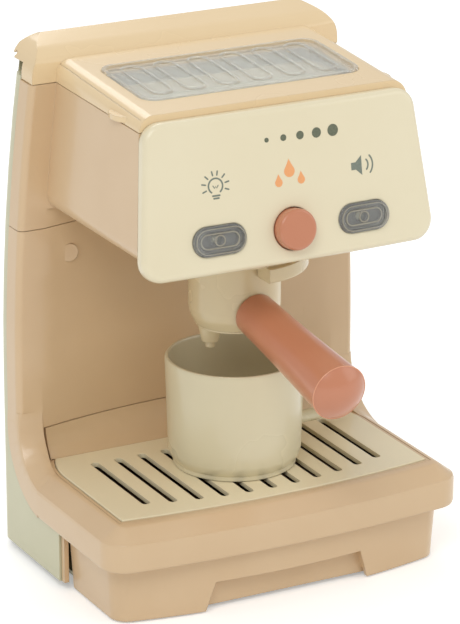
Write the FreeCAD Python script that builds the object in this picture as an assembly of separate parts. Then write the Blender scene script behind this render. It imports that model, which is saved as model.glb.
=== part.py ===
"""Toy coffee maker: one STEP file for each separate piece.

Millimetres, +Z up. The pieces are drawn about the middle of the machine's
body, then moved back by FORWARD so that the origin is on the table under the
middle of everything, handle and all. +X is the right side, -Y the front.
"""
import FreeCAD, Part
import math
import os

V = FreeCAD.Vector
UP = V(0, 0, 1)
X_AXIS = V(1, 0, 0)
Y_AXIS = V(0, 1, 0)
MIDDLE = V(0, 0, 0)

FORWARD = 24.5

# Column and base, outside
BASE_HALF = 92.0
TOP_HALF = 81.0
LOW_SCREW_IN = 22.0
HIGH_SCREW_IN = 19.0
POST_IN = 18.0
PLATE_IN = 10.0
TAPER_FROM = 90.0
COLUMN_TOP = 243.4
REAR_Y = 64.0
FRAME_Y = 40.0
SPLIT_Y = 52.0
REAR_CORNER = 9.0
WALL = 2.2
SEAM = 0.3
HOUSING_SEAM_Z = 165.0

# Recess behind the cup
RECESS_EDGE = 13.0
RECESS_DEPTH = 9.5

# Base rim and arch
RIM_HALF = 94.0
RIM_FRONT = 69.5
RIM_CORNER_Y = 63.0
RIM_CORNER_R = 13.0
RIM_Z = 30.0
RIDGE_Z = 44.4
DECK_Z = 50.0
LAND = 9.5
ARCH_Y = 16.0
ARCH_R = 24.0
ARCH_SIDE_R = 36.0
SKIRT_START_Y = -3.0
FLOOR_Z = 33.0

# Drip tray and grille
TRAY_HALF = 83.5
TRAY_FRONT = 57.4
TRAY_CORNER_Y = 51.2
TRAY_STRAIGHT_Y = 12.0
UPSTAND_Z = 64.5
UPSTAND_FOOT_Y = 34.0
GRILLE_T = 2.2
SLOTS = 11
SLOT_PITCH = 12.4
SLOT_W = 4.2
SLOT_FRONT = 47.5
SLOT_FRONT_EDGE = 37.4
SLOT_REAR = 20.0

# Drawer
DRAWER_HALF = 88.0
DRAWER_TAPER = 2.0
DRAWER_FRONT = 65.0
DRAWER_CORNER_Y = 54.0
DRAWER_BACK_Y = -6.6
DRAWER_LOW_Z = 1.0
NOTCH_HALF = 44.0
NOTCH_TOP_HALF = 38.7
NOTCH_H = 15.6

# Head
HEAD_TOP_HALF = 69.0
HEAD_LOW_HALF = 75.6
HEAD_LOW_Z = 174.5
HEAD_SEAM_Z = 235.6
HEAD_FRONT_SEAM_Z = 233.6

# Front panel, in its own leaning frame
LEAN = 9.6
PANEL_Y = -60.5
PANEL_Z = 203.5
PANEL_H = 72.0
PANEL_TOP_HALF = 69.0
PANEL_LOW_HALF = 76.5
PANEL_CORNER_R = 10.0
PANEL_DEPTH = 8.6
PANEL_BOW_R = 850.0
PANEL_WALL = 2.4
CONTROL_X = 37.3
CONTROL_Z = -20.2
CAPSULE_W = 26.4
CAPSULE_H = 13.6
FLOW_R = 9.6
FLOW_OUT = 5.6
BOARD_Y = 15.0
BOARD_LOW = -23.6
BOARD_SCREWS = ((-54, 24), (54, 24), (-60, -12), (60, -12))
STEM_END = 9.9
KEY_TRAVEL = 1.2
FLOW_TRAVEL = 2.0

# Lid
SLOPE = 3.9
CREASE_Z = 246.4
LID_EDGE_R = 7.5
CAP_BACK_Z = 255.4
CAP_RIDGE_Y = 46.5
CAP_RIDGE_Z = 251.4
CAP_END_R = 17.0
HINGE_Y = 61.6
HINGE_Z = 246.0
HINGE_R = 2.3
HINGE_PIN_R = 1.0
FIT = 0.05
LUG_X = 46.0
LUG_W = 9.0
WINDOW_HALF = 57.0
WINDOW_BACK = -17.0
WINDOW_FRONT = -69.0
WINDOW_R = 8.0
RIBS = 6
RIB_PITCH = 17.2
RIB_W = 11.6

# Brewing group
GROUP_Y = -7.0
COLLAR_R = 35.0
COLLAR_Z = 150.0
BODY_R = 22.0
BODY_LOW_Z = 122.0
SPOUT_X = 13.0
SPOUT_LOW_Z = 110.6
HANDLE_ROOT_R = 10.4
HANDLE_END_R = 13.4
HANDLE_LONG = 104.0
HANDLE_DROP = 9.0
HANDLE_Z = 131.0
CAP_DOME = 6.0

# Cup
CUP_R = 33.3
CUP_H = 53.6
CUP_WALL = 2.4
CUP_FOOT_R = 29.6
GAP = 0.3

# Tank, pump and battery
TANK_HALF = 60.0
TANK_FRONT = -32.0
TANK_BACK = 27.0
TANK_LOW_Z = 206.0
PUMP_X = 42.0
PUMP_Y = 2.0
NECK_ASIDE = 8.4
NECK_FORWARD = 4.2
NECK_TOP = 14.2
MOTOR_R = 6.0
SPIGOT_ASIDE = 27.0
CELL_R = 7.1
CELL_LONG = 50.0
CELLS = 3
CELL_PITCH = 15.2
BATTERY_Y = 30.0
BATTERY_LOW_Z = 6.2
FOOT_H = 2.6


def box(x0, x1, y0, y1, z0, z1):
    return Part.makeBox(x1 - x0, y1 - y0, z1 - z0, V(x0, y0, z0))


def rod(r, h, at, along=UP):
    return Part.makeCylinder(r, h, at, along)


def line(a, b):
    return Part.LineSegment(a, b).toShape()


def arc(a, b, c):
    return Part.Arc(a, b, c).toShape()


def prism(edges, along):
    return Part.Face(Part.Wire(edges)).extrude(along)


def polygon(points):
    return Part.Wire([line(a, b) for a, b in zip(points, points[1:] + points[:1])])


def solid_of(wire, along):
    return Part.Face(wire).extrude(along)


def side_prism(points, x0, x1):
    """A solid from a (y, z) outline between two planes across the machine."""
    return solid_of(polygon([V(x0, y, z) for y, z in points]), V(x1 - x0, 0, 0))


def union(shapes):
    whole = shapes[0]
    for shape in shapes[1:]:
        whole = whole.fuse(shape)
    return whole.removeSplitter()


def rounded_box(x0, x1, y0, y1, z0, z1, r):
    block = box(x0, x1, y0, y1, z0, z1)
    upright = [e for e in block.Edges if abs(e.tangentAt(e.FirstParameter).z) > 0.9]
    return block.makeFillet(r, upright)


def half_width(z):
    """Half the column's width at a height: it narrows upwards on a curve."""
    rise = max(0.0, z - TAPER_FROM)
    reach = COLUMN_TOP - TAPER_FROM
    return BASE_HALF - (BASE_HALF - TOP_HALF) * (rise / reach) ** 2


def recess_half(z):
    return half_width(z) - RECESS_EDGE - 1.5 * (1.0 - min(1.0, z / TAPER_FROM))


def column_section(z, inset):
    """The column's outline at one height, with rounded upright corners."""
    w = half_width(z) - inset
    y0 = FRAME_Y + inset
    y1 = REAR_Y - inset
    rf = max(0.6, 3.2 - inset)
    rr = REAR_CORNER - inset
    s = math.sqrt(0.5)
    edges = [line(V(-w, y1 - rr, z), V(-w, y0 + rf, z))]
    edges.append(arc(V(-w, y0 + rf, z), V(-w + rf * (1 - s), y0 + rf * (1 - s), z), V(-w + rf, y0, z)))
    edges.append(line(V(-w + rf, y0, z), V(w - rf, y0, z)))
    edges.append(arc(V(w - rf, y0, z), V(w - rf * (1 - s), y0 + rf * (1 - s), z), V(w, y0 + rf, z)))
    edges.append(line(V(w, y0 + rf, z), V(w, y1 - rr, z)))
    edges.append(arc(V(w, y1 - rr, z), V(w - rr * (1 - s), y1 - rr * (1 - s), z), V(w - rr, y1, z)))
    edges.append(line(V(w - rr, y1, z), V(-w + rr, y1, z)))
    edges.append(arc(V(-w + rr, y1, z), V(-w + rr * (1 - s), y1 - rr * (1 - s), z), V(-w, y1 - rr, z)))
    return Part.Wire(edges)


def column(inset, low, high=COLUMN_TOP):
    """The column from a low height to a high one, narrowing above its waist."""
    steps = 6
    waist = max(low, TAPER_FROM)
    levels = [waist + (high - waist) * i / steps for i in range(steps + 1)]
    body = Part.makeLoft([column_section(z, inset) for z in levels], True, True)
    if low < TAPER_FROM:
        body = body.fuse(solid_of(column_section(low, inset), V(0, 0, waist - low)))
    return body


def recess_section(z, deep):
    w = recess_half(z) + 0.3 * deep
    y = FRAME_Y + 0.5 * deep
    far = FRAME_Y + RECESS_DEPTH + deep
    front = FRAME_Y - 14.0
    edges = [line(V(-w, y, z), V(-w, front, z)), line(V(-w, front, z), V(w, front, z))]
    edges.append(line(V(w, front, z), V(w, y, z)))
    edges.append(arc(V(w, y, z), V(0, far, z), V(-w, y, z)))
    return Part.Wire(edges)


def recess(deep, low, high):
    """The shallow hollow curve of the wall behind the cup, pushed back by deep."""
    steps = 4
    levels = [low + (high - low) * i / steps for i in range(steps + 1)]
    return Part.makeLoft([recess_section(z, deep) for z in levels], True, True)


def rear_region(gap):
    """Everything behind the seam between the frame and the rear cover."""
    mid_r = (ARCH_SIDE_R + DECK_Z + ARCH_R - RIM_Z) / 2 + gap
    mid = mid_r * math.sqrt(0.5)
    arch_z = DECK_Z + ARCH_R
    y = SPLIT_Y + gap
    low = RIM_Z - gap
    x0 = -110.0
    start = SKIRT_START_Y + gap
    edges = [line(V(x0, y, 300), V(x0, y, arch_z))]
    edges.append(arc(V(x0, y, arch_z), V(x0, ARCH_Y + mid, arch_z - mid), V(x0, ARCH_Y, low)))
    edges.append(line(V(x0, ARCH_Y, low), V(x0, start, low)))
    edges.append(line(V(x0, start, low), V(x0, start, -5)))
    edges.append(line(V(x0, start, -5), V(x0, 100, -5)))
    edges.append(line(V(x0, 100, -5), V(x0, 100, 300)))
    edges.append(line(V(x0, 100, 300), V(x0, y, 300)))
    return prism(edges, V(220, 0, 0))


def to_panel(shape):
    """Move a shape from the panel's own leaning frame to the machine."""
    moved = shape.copy()
    moved.rotate(MIDDLE, X_AXIS, -LEAN)
    moved.translate(V(0, PANEL_Y, PANEL_Z))
    return moved


def to_lid(shape):
    """Move a shape from the lid's sloping frame, y from the crease, z from its top."""
    moved = shape.copy()
    moved.rotate(MIDDLE, X_AXIS, SLOPE)
    moved.translate(V(0, FRAME_Y, CREASE_Z))
    return moved


def rear_cover():
    low = FOOT_H + 1.4
    back = column(0.4, low, COLUMN_TOP)
    block = rounded_box(-BASE_HALF + 0.4, BASE_HALF - 0.4, SKIRT_START_Y - 20, REAR_Y - 0.4, low, 80, REAR_CORNER)
    inner = column(0.4 + WALL, low - 5, COLUMN_TOP - WALL)
    room = box(-BASE_HALF + 0.4 + WALL, BASE_HALF - 0.4 - WALL, -30, REAR_Y - 0.4 - WALL, low - 5, 80)
    rest = rear_region(SEAM / 2)
    shell = back.fuse(block).common(rest)
    shell = shell.cut(inner).cut(room)
    shell = shell.cut(box(-100, 100, SPLIT_Y - 5, REAR_Y - WALL - 0.4, COLUMN_TOP - 6, COLUMN_TOP + 5))
    for x in (-LUG_X, LUG_X):
        shell = shell.fuse(hinge_lug(x))
    for side in (-1, 1):
        for x, z in screw_places():
            shell = shell.fuse(screw_boss(side * x, z))
    for row in range(5):
        for k in range(-3, 4):
            hole = rod(1.4, 8, V(k * 5.0, REAR_Y - 6, 196 + row * 5.0), Y_AXIS)
            shell = shell.cut(hole)
    for side in (-1, 1):
        for x, z in screw_places():
            shell = shell.cut(rod(1.7, 20, V(side * x, REAR_Y - 12, z), Y_AXIS))
            shell = shell.cut(rod(3.3, 4, V(side * x, REAR_Y - 1.9, z), Y_AXIS))
    return shell.removeSplitter()


def screw_places():
    """Where the rear cover's screws go, on the right half: high and low."""
    return [(TOP_HALF - HIGH_SCREW_IN, 212.0), (BASE_HALF - LOW_SCREW_IN, 100.0)]


def screw_boss(x, z):
    return rod(4.4, REAR_Y - 0.4 - WALL / 2 - SPLIT_Y - SEAM, V(x, SPLIT_Y + SEAM, z), Y_AXIS)


def hinge_lug(x):
    """A lug on the rear cover that carries the lid's pin."""
    post = box(x - LUG_W / 2, x + LUG_W / 2, HINGE_Y - HINGE_R, REAR_Y - 0.4, COLUMN_TOP - 12, HINGE_Z)
    eye = rod(HINGE_R, LUG_W, V(x - LUG_W / 2, HINGE_Y, HINGE_Z), X_AXIS)
    lug = post.fuse(eye)
    return lug.cut(rod(HINGE_PIN_R, LUG_W + 2, V(x - LUG_W / 2 - 1, HINGE_Y, HINGE_Z), X_AXIS))


def lid_hinge_pins():
    pins = []
    for x in (-LUG_X, LUG_X):
        long = LUG_W + 12
        pins.append(rod(HINGE_PIN_R, long, V(x - long / 2, HINGE_Y, HINGE_Z), X_AXIS))
    return Part.makeCompound(pins)


def base_outline(half, corner_y, front, corner_r, z, back_y=20.0):
    """A plan outline with a bowed front, rounded front corners and a straight back."""
    edges = [line(V(-half, back_y, z), V(-half, -corner_y, z))]
    edges.append(arc(V(-half, -corner_y, z), V(0, -front, z), V(half, -corner_y, z)))
    edges.append(line(V(half, -corner_y, z), V(half, back_y, z)))
    edges.append(line(V(half, back_y, z), V(-half, back_y, z)))
    block = prism(edges, V(0, 0, 10))
    upright = []
    for e in block.Edges:
        mid = e.valueAt((e.FirstParameter + e.LastParameter) / 2)
        if abs(e.tangentAt(e.FirstParameter).z) > 0.9 and mid.y < 0:
            upright.append(e)
    block = block.makeFillet(corner_r, upright)
    bottom = [f for f in block.Faces if abs(f.CenterOfMass.z - z) < 0.01][0]
    return bottom.OuterWire


def inset_wire(wire, by, z):
    if by > 0:
        wire = wire.makeOffset2D(-by)
    moved = wire.copy()
    moved.translate(V(0, 0, z))
    return moved


def rim_block():
    """The base rim: upright band, rounded ridge, then a land rising to the tray."""
    flat = base_outline(RIM_HALF, RIM_CORNER_Y, RIM_FRONT, RIM_CORNER_R, 0.0, ARCH_Y + 12)
    steps = [(RIM_Z, 0.5), (RIM_Z + 1.5, 0.0), (RIDGE_Z - 2.2, 0.0), (RIDGE_Z - 0.7, 0.5)]
    steps += [(RIDGE_Z, 1.7), (DECK_Z - 0.6, LAND - 1.6), (DECK_Z, LAND)]
    rim = Part.makeLoft([inset_wire(flat, by, z) for z, by in steps], True, True)
    return rim.common(box(-120, 120, -120, ARCH_Y, 0, 100))


def arch_band(side):
    """The swept corner that carries the column's front face down into the rim."""
    sections = []
    steps = 9
    arch_z = DECK_Z + ARCH_R
    for i in range(steps + 1):
        t = i / steps
        turn = math.radians(90.0 * t)
        x_in = BASE_HALF - PLATE_IN - 3.0 * t
        x_out = RIM_HALF + (BASE_HALF - RIM_HALF) * t
        drop = 5.4 * (1 - t) ** 1.5 + 0.02
        deep = (arch_z - RIM_Z) * (1 - t) + ARCH_SIDE_R * t
        profile = [(x_in, ARCH_R), (x_out - LAND + 1.6 * (1 - t), ARCH_R + 0.6 * drop * (1 - t) * 0.2)]
        profile += [(x_out - 1.7, ARCH_R + drop + 0.2), (x_out - 0.5, ARCH_R + drop + 0.9)]
        profile += [(x_out, ARCH_R + drop + 2.4), (x_out, deep), (x_in, deep)]
        points = []
        for x, r in profile:
            points.append(V(side * x, ARCH_Y + r * math.sin(turn), arch_z - r * math.cos(turn)))
        sections.append(polygon(points))
    return Part.makeLoft(sections, True, True)


def tray_outline(inset, z):
    """The drip tray's plan: bowed front, straight sides, then in to the hollow wall."""
    half = TRAY_HALF - inset
    in_half = recess_half(UPSTAND_Z) - inset
    front = TRAY_FRONT - inset
    corner = TRAY_CORNER_Y - inset
    deep = 2.3 - inset
    wall_y = FRAME_Y + 0.5 * deep
    far = FRAME_Y + RECESS_DEPTH + deep
    bend_y = UPSTAND_FOOT_Y - 8.0
    edges = [arc(V(-half, -corner, z), V(0, -front, z), V(half, -corner, z))]
    edges.append(line(V(half, -corner, z), V(half, TRAY_STRAIGHT_Y, z)))
    edges.append(arc(V(half, TRAY_STRAIGHT_Y, z), V(half - 1.4, bend_y - 2, z), V(in_half, wall_y, z)))
    edges.append(arc(V(in_half, wall_y, z), V(0, far, z), V(-in_half, wall_y, z)))
    edges.append(arc(V(-in_half, wall_y, z), V(-half + 1.4, bend_y - 2, z), V(-half, TRAY_STRAIGHT_Y, z)))
    edges.append(line(V(-half, TRAY_STRAIGHT_Y, z), V(-half, -corner, z)))
    return Part.Wire(edges)


def lower_housing():
    arch_z = DECK_Z + ARCH_R
    frame = column(0.0, arch_z, HOUSING_SEAM_Z)
    hollow = column(WALL, arch_z - 10, HOUSING_SEAM_Z + 10)
    wall = recess(2.0, FLOOR_Z - 3, HOUSING_SEAM_Z + 12)
    keep = union([wall, box(26 - BASE_HALF, BASE_HALF - 26, 20, 45, 20, 190)])
    wall_box = box(PLATE_IN - BASE_HALF, BASE_HALF - PLATE_IN, FRAME_Y, SPLIT_Y + 3.0, RIM_Z, arch_z + 4)
    lower_wall = wall_box.common(recess(4.4, RIM_Z - 2, arch_z + 6))
    frame = frame.cut(hollow.cut(keep))
    body = frame.common(box(-120, 120, 0, SPLIT_Y, 0, 300))
    body = body.fuse(wall.common(box(-120, 120, FRAME_Y + 1, 70, arch_z - 6, arch_z)))
    base = rim_block().fuse(box(-TRAY_HALF, TRAY_HALF, ARCH_Y - 2, FRAME_Y + 4, RIM_Z, FLOOR_Z))
    for side in (-1, 1):
        base = base.fuse(arch_band(side))
    body = body.fuse(base.fuse(lower_wall))
    pocket = Part.Face(tray_outline(0.0, FLOOR_Z)).extrude(V(0, 0, UPSTAND_Z + SEAM - FLOOR_Z))
    body = body.cut(pocket)
    body = body.cut(recess(0.0, UPSTAND_Z + SEAM, HOUSING_SEAM_Z + 4))
    body = body.cut(rod(4.0, 10, V(0, -30, RIM_Z - 2)))
    for side in (-1, 1):
        x = side * (BASE_HALF - 1.4)
        body = body.fuse(box(min(x, x - side * 2.4), max(x, x - side * 2.4), SKIRT_START_Y - 3.2,
                             SKIRT_START_Y - 0.2, FOOT_H + 1.4, RIM_Z + 1))
        post = side * (BASE_HALF - 8.0)
        body = body.fuse(box(post - 2, post + 2, SKIRT_START_Y + 0.4, 50, RIM_Z - 6, RIM_Z + 1))
    for x, z in ((BASE_HALF - LOW_SCREW_IN, 100), (TOP_HALF - HIGH_SCREW_IN, 150)):
        for side in (-1, 1):
            body = body.fuse(rod(4.4, 9.0, V(side * x, SPLIT_Y - SEAM / 2 - 9.0, z), Y_AXIS))
    for side in (-1, 1):
        body = body.cut(rod(1.35, 12, V(side * (BASE_HALF - LOW_SCREW_IN), SPLIT_Y - 5.0, 100), Y_AXIS))
    return body


def head_outline(inset, y):
    """The head's front-view outline: narrower above, lower corners rounded."""
    top_z = 262.0
    low_z = HEAD_LOW_Z + inset
    span = HEAD_SEAM_Z - HEAD_LOW_Z
    flare = (HEAD_LOW_HALF - HEAD_TOP_HALF) / span
    top_w = HEAD_TOP_HALF - flare * (top_z - HEAD_SEAM_Z) - inset
    low_w = HEAD_LOW_HALF - inset
    block = solid_of(polygon([V(-low_w, y, low_z), V(low_w, y, low_z), V(top_w, y, top_z), V(-top_w, y, top_z)]),
                     V(0, 10, 0))
    lower = []
    for e in block.Edges:
        mid = e.valueAt((e.FirstParameter + e.LastParameter) / 2)
        if abs(e.tangentAt(e.FirstParameter).y) > 0.9 and mid.z < 200:
            lower.append(e)
    block = block.makeFillet(PANEL_CORNER_R - 3 - inset, lower)
    return [f for f in block.Faces if abs(f.CenterOfMass.y - y) < 0.01][0].OuterWire


def behind_panel(gap):
    """The space behind the front panel's back edge, in the panel's lean."""
    return to_panel(box(-200, 200, PANEL_DEPTH + gap, 300, -200, 200))


def under_lid(gap):
    """The space under the sloping seam of the head and the step over the rear cover."""
    points = [(-120, HEAD_FRONT_SEAM_Z - 2.1 - gap), (-42, HEAD_FRONT_SEAM_Z - gap), (FRAME_Y, HEAD_SEAM_Z - gap)]
    points += [(SPLIT_Y, HEAD_SEAM_Z + 0.3 - gap), (SPLIT_Y, 0), (-120, 0)]
    return side_prism(points, -200, 200)


def upper_housing():
    outer = Part.Face(head_outline(0.0, -90)).extrude(V(0, 90 + FRAME_Y + 2, 0)).common(behind_panel(SEAM))
    inner = Part.Face(head_outline(WALL, -91)).extrude(V(0, 91 + SPLIT_Y + 10, 0))
    col = column(0.0, HOUSING_SEAM_Z + SEAM, COLUMN_TOP).common(box(-120, 120, 0, SPLIT_Y - SEAM / 2, 0, 300))
    col_in = column(WALL, HOUSING_SEAM_Z - 5, COLUMN_TOP + 1)
    wall_keep = recess(2.0, HOUSING_SEAM_Z - 2, HEAD_LOW_Z + 6)
    wall_cut = recess(0.0, HOUSING_SEAM_Z - 3, HEAD_LOW_Z + 0.01)
    col = col.cut(col_in.cut(wall_keep))
    band = recess(2.0, HOUSING_SEAM_Z + SEAM, HEAD_LOW_Z + 1).common(box(-120, 120, FRAME_Y + 1, 70, 0, 300))
    col = col.fuse(band).cut(wall_cut)
    body = col.fuse(outer).cut(inner).common(under_lid(SEAM / 2))
    body = body.cut(rod(BODY_R - 6, 30, V(0, GROUP_Y, HEAD_LOW_Z - 10)))
    for side in (-1, 1):
        high = side * (TOP_HALF - HIGH_SCREW_IN)
        body = body.fuse(rod(4.4, 8.0, V(high, SPLIT_Y - SEAM / 2 - 8.0, 212), Y_AXIS))
        body = body.fuse(box(high + side * 4 - 4, high + side * 4 + 4, FRAME_Y - 2, SPLIT_Y - 3, 205, 212))
        body = body.cut(rod(1.35, 12, V(high, SPLIT_Y - 7, 212), Y_AXIS))
        body = body.fuse(rod(2.6, 12.0, V(side * 52, -36, HEAD_LOW_Z + 1)))
    for side in (-1, 1):
        for y in (-20, 20):
            body = body.fuse(rod(2.6, TANK_LOW_Z - HEAD_LOW_Z - 1, V(side * 56, y, HEAD_LOW_Z + 1)))
    return body.removeSplitter()


def panel_block(low_half, top_half, low_z, top_z, corner, front, back):
    """A leaning-frame block: wider below, rounded corners, gently bowed front."""
    block = solid_of(polygon([V(-low_half, front, low_z), V(low_half, front, low_z),
                              V(top_half, front, top_z), V(-top_half, front, top_z)]), V(0, back - front, 0))
    along = [e for e in block.Edges if abs(e.tangentAt(e.FirstParameter).y) > 0.9]
    return block.makeFillet(corner, along)


def bowed(inset):
    return rod(PANEL_BOW_R - inset, 300, V(0, PANEL_BOW_R, -150))


def capsule(w, h, x, z, y0, y1):
    """A capsule-shaped bar along Y in the panel's frame."""
    r = h / 2
    bar = box(x - w / 2 + r, x + w / 2 - r, y0, y1, z - r, z + r)
    bar = bar.fuse(rod(r, y1 - y0, V(x - w / 2 + r, y0, z), Y_AXIS))
    return bar.fuse(rod(r, y1 - y0, V(x + w / 2 - r, y0, z), Y_AXIS)).removeSplitter()


def front_panel():
    h = PANEL_H / 2
    block = panel_block(PANEL_LOW_HALF, PANEL_TOP_HALF, -h, h, PANEL_CORNER_R, -6.0, PANEL_DEPTH)
    block = block.common(bowed(0.0))
    rim = []
    for e in block.Edges:
        mid = e.valueAt((e.FirstParameter + e.LastParameter) / 2)
        if mid.y < PANEL_DEPTH - 2.5 and abs(e.tangentAt(e.FirstParameter).y) < 0.9:
            rim.append(e)
    block = block.makeFillet(2.6, rim)
    t = PANEL_WALL
    room = panel_block(PANEL_LOW_HALF - t, PANEL_TOP_HALF - t, -h + t, h - t, PANEL_CORNER_R - t, -6.0, 30)
    block = block.cut(room.common(bowed(t)))
    for side in (-1, 1):
        block = block.cut(capsule(CAPSULE_W + 0.6, CAPSULE_H + 0.6, side * CONTROL_X, CONTROL_Z, -8, 8))
    block = block.cut(rod(FLOW_R + 0.45, 16, V(0, -8, CONTROL_Z), Y_AXIS))
    for x, z in BOARD_SCREWS:
        boss = rod(3.2, BOARD_Y - 3.3, V(x, 3.3, z), Y_AXIS)
        block = block.fuse(boss.cut(rod(1.2, 20, V(x, 6, z), Y_AXIS)))
    return to_panel(block)


def control_board():
    board = box(-64, 64, BOARD_Y, BOARD_Y + 1.6, BOARD_LOW, -8)
    board = board.fuse(box(-58, -50, BOARD_Y, BOARD_Y + 1.6, -12, 27)).fuse(box(50, 58, BOARD_Y, BOARD_Y + 1.6, -12, 27))
    for x, z in BOARD_SCREWS:
        board = board.cut(rod(1.6, 6, V(x, BOARD_Y - 2, z), Y_AXIS))
    return to_panel(board.removeSplitter())


def panel_screws():
    screws = []
    for x, z in BOARD_SCREWS:
        shank = rod(1.15, 8.0, V(x, BOARD_Y - 6.2, z), Y_AXIS)
        screws.append(to_panel(shank.fuse(cross_head(V(x, BOARD_Y + 1.6, z), 2.6, 1.6, Y_AXIS))))
    return Part.makeCompound(screws)


def cross_head(at, r, h, along):
    """A round screw head with a cross slot, its seat at the given point."""
    head = rod(r, h, at, along)
    tip = at + along * (h - 0.9)
    if abs(along.y) > 0.5:
        slot = box(tip.x - r * 0.7, tip.x + r * 0.7, min(tip.y, tip.y + along.y * 2), max(tip.y, tip.y + along.y * 2),
                   tip.z - 0.35, tip.z + 0.35)
        other = box(tip.x - 0.35, tip.x + 0.35, min(tip.y, tip.y + along.y * 2), max(tip.y, tip.y + along.y * 2),
                    tip.z - r * 0.7, tip.z + r * 0.7)
    else:
        slot = box(tip.x - r * 0.7, tip.x + r * 0.7, tip.y - 0.35, tip.y + 0.35,
                   min(tip.z, tip.z + along.z * 2), max(tip.z, tip.z + along.z * 2))
        other = box(tip.x - 0.35, tip.x + 0.35, tip.y - r * 0.7, tip.y + r * 0.7,
                    min(tip.z, tip.z + along.z * 2), max(tip.z, tip.z + along.z * 2))
    return head.cut(slot).cut(other)


def lens_button(side):
    """A clear capsule key: raised outer ring, dished middle, flange and two guide legs."""
    x = side * CONTROL_X
    z = CONTROL_Z
    front = bow_y(x) - 1.6
    cap = capsule(CAPSULE_W, CAPSULE_H, x, z, front, 4.6)
    edge = [e for e in cap.Edges if e.valueAt((e.FirstParameter + e.LastParameter) / 2).y < front + 0.01]
    cap = cap.makeFillet(0.9, edge)
    cap = cap.cut(capsule(CAPSULE_W - 4.4, CAPSULE_H - 4.4, x, z, front - 1, front + 1.0))
    cap = cap.cut(capsule(CAPSULE_W - 3.0, CAPSULE_H - 3.0, x, z, front + 2.8, 8))
    flange = capsule(CAPSULE_W + 3.0, CAPSULE_H + 3.0, x, z, 4.6, 5.8)
    flange = flange.cut(capsule(CAPSULE_W - 3.0, CAPSULE_H - 3.0, x, z, 3, 8))
    return cap.fuse(flange).removeSplitter()


def bow_y(x):
    """How far the panel's front lies behind its middle at x."""
    return PANEL_BOW_R - math.sqrt(PANEL_BOW_R ** 2 - x ** 2)


def lens_reflector(side):
    """The dark seat under a clear key: a cup around the lamp, and its stem for the switch."""
    x = side * CONTROL_X
    z = CONTROL_Z
    w = CAPSULE_W - 3.4
    h = CAPSULE_H - 3.4
    front = bow_y(x) + 2.6
    seat = capsule(w, h, x, z, front, 7.0)
    seat = seat.cut(capsule(w - 2.4, h - 2.4, x, z, front - 1, front + 1.4))
    ring = rod(3.6, 2.0, V(x, front, z), Y_AXIS).cut(rod(2.8, 4, V(x, front - 1, z), Y_AXIS))
    seat = seat.fuse(ring)
    foot = capsule(CAPSULE_W + 3.0, CAPSULE_H + 3.0, x, z, 6.1, 7.3)
    stem = rod(1.6, STEM_END - 7.0, V(x - 8.0, 7.0, z), Y_AXIS)
    hole = rod(2.75, 20, V(x, -4, z), Y_AXIS)
    return seat.fuse(foot).fuse(stem).cut(hole).removeSplitter()


def lamp(side):
    x = side * CONTROL_X
    dome_y = bow_y(x) + 4.4
    body = rod(2.5, BOARD_Y - 0.2 - dome_y - 2.5, V(x, dome_y + 2.5, CONTROL_Z), Y_AXIS)
    dome = Part.makeSphere(2.5, V(x, dome_y + 2.5, CONTROL_Z))
    return body.fuse(dome).removeSplitter()


def lamps():
    return Part.makeCompound([to_panel(lamp(-1)), to_panel(lamp(1))])


def flow_button():
    front = -FLOW_OUT
    knob = rod(FLOW_R, FLOW_OUT + 4.6, V(0, front, CONTROL_Z), Y_AXIS)
    rim = [e for e in knob.Edges if e.valueAt(e.FirstParameter).y < front + 0.01]
    knob = knob.makeFillet(1.5, rim)
    flange = rod(FLOW_R + 1.6, 1.4, V(0, 4.4, CONTROL_Z), Y_AXIS)
    knob = knob.fuse(flange).cut(rod(FLOW_R - 1.8, 20, V(0, front + 2.0, CONTROL_Z), Y_AXIS))
    stem = rod(2.4, BOARD_Y - 3.4 - FLOW_TRAVEL - 0.3 - front - 1.0, V(0, front + 1.0, CONTROL_Z), Y_AXIS)
    return to_panel(knob.fuse(stem).removeSplitter())


def switch_at(x, z, tip_y):
    body = box(x - 3, x + 3, BOARD_Y - 3.4, BOARD_Y - 0.0, z - 3, z + 3)
    return body.fuse(rod(1.5, BOARD_Y - 3.4 - tip_y, V(x, tip_y, z), Y_AXIS))


def tact_switches():
    parts = [switch_at(side * CONTROL_X - 8.0, CONTROL_Z, STEM_END + KEY_TRAVEL + 0.2) for side in (-1, 1)]
    parts.append(box(-3, 3, BOARD_Y - 3.4, BOARD_Y, CONTROL_Z - 3, CONTROL_Z + 3))
    return Part.makeCompound([to_panel(p) for p in parts])


def spring(x, z, r, wire, turns, y0, y1):
    """A helical spring along Y with its end rings closed on the seats."""
    pitch = (y1 - y0 - 2 * wire) / turns
    helix = Part.makeHelix(pitch, pitch * turns, r)
    profile = Part.Wire([Part.Circle(V(r, 0, 0), V(0, 1, 0), wire / 2).toShape()])
    coil = Part.Wire(helix.Edges).makePipeShell([profile], True, True)
    coil.rotate(MIDDLE, X_AXIS, -90)
    coil.translate(V(x, y0 + wire, z))
    return to_panel(coil)


def top_outline(half, top, edge_r, y0, y1, low):
    """A lid section in the sloping frame: flat top, rounded long edges."""
    block = box(-half, half, y0, y1, low, top)
    long_edges = []
    for e in block.Edges:
        mid = e.valueAt((e.FirstParameter + e.LastParameter) / 2)
        if abs(e.tangentAt(e.FirstParameter).y) > 0.9 and mid.z > top - 0.1:
            long_edges.append(e)
    return block.makeFillet(edge_r, long_edges)


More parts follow.
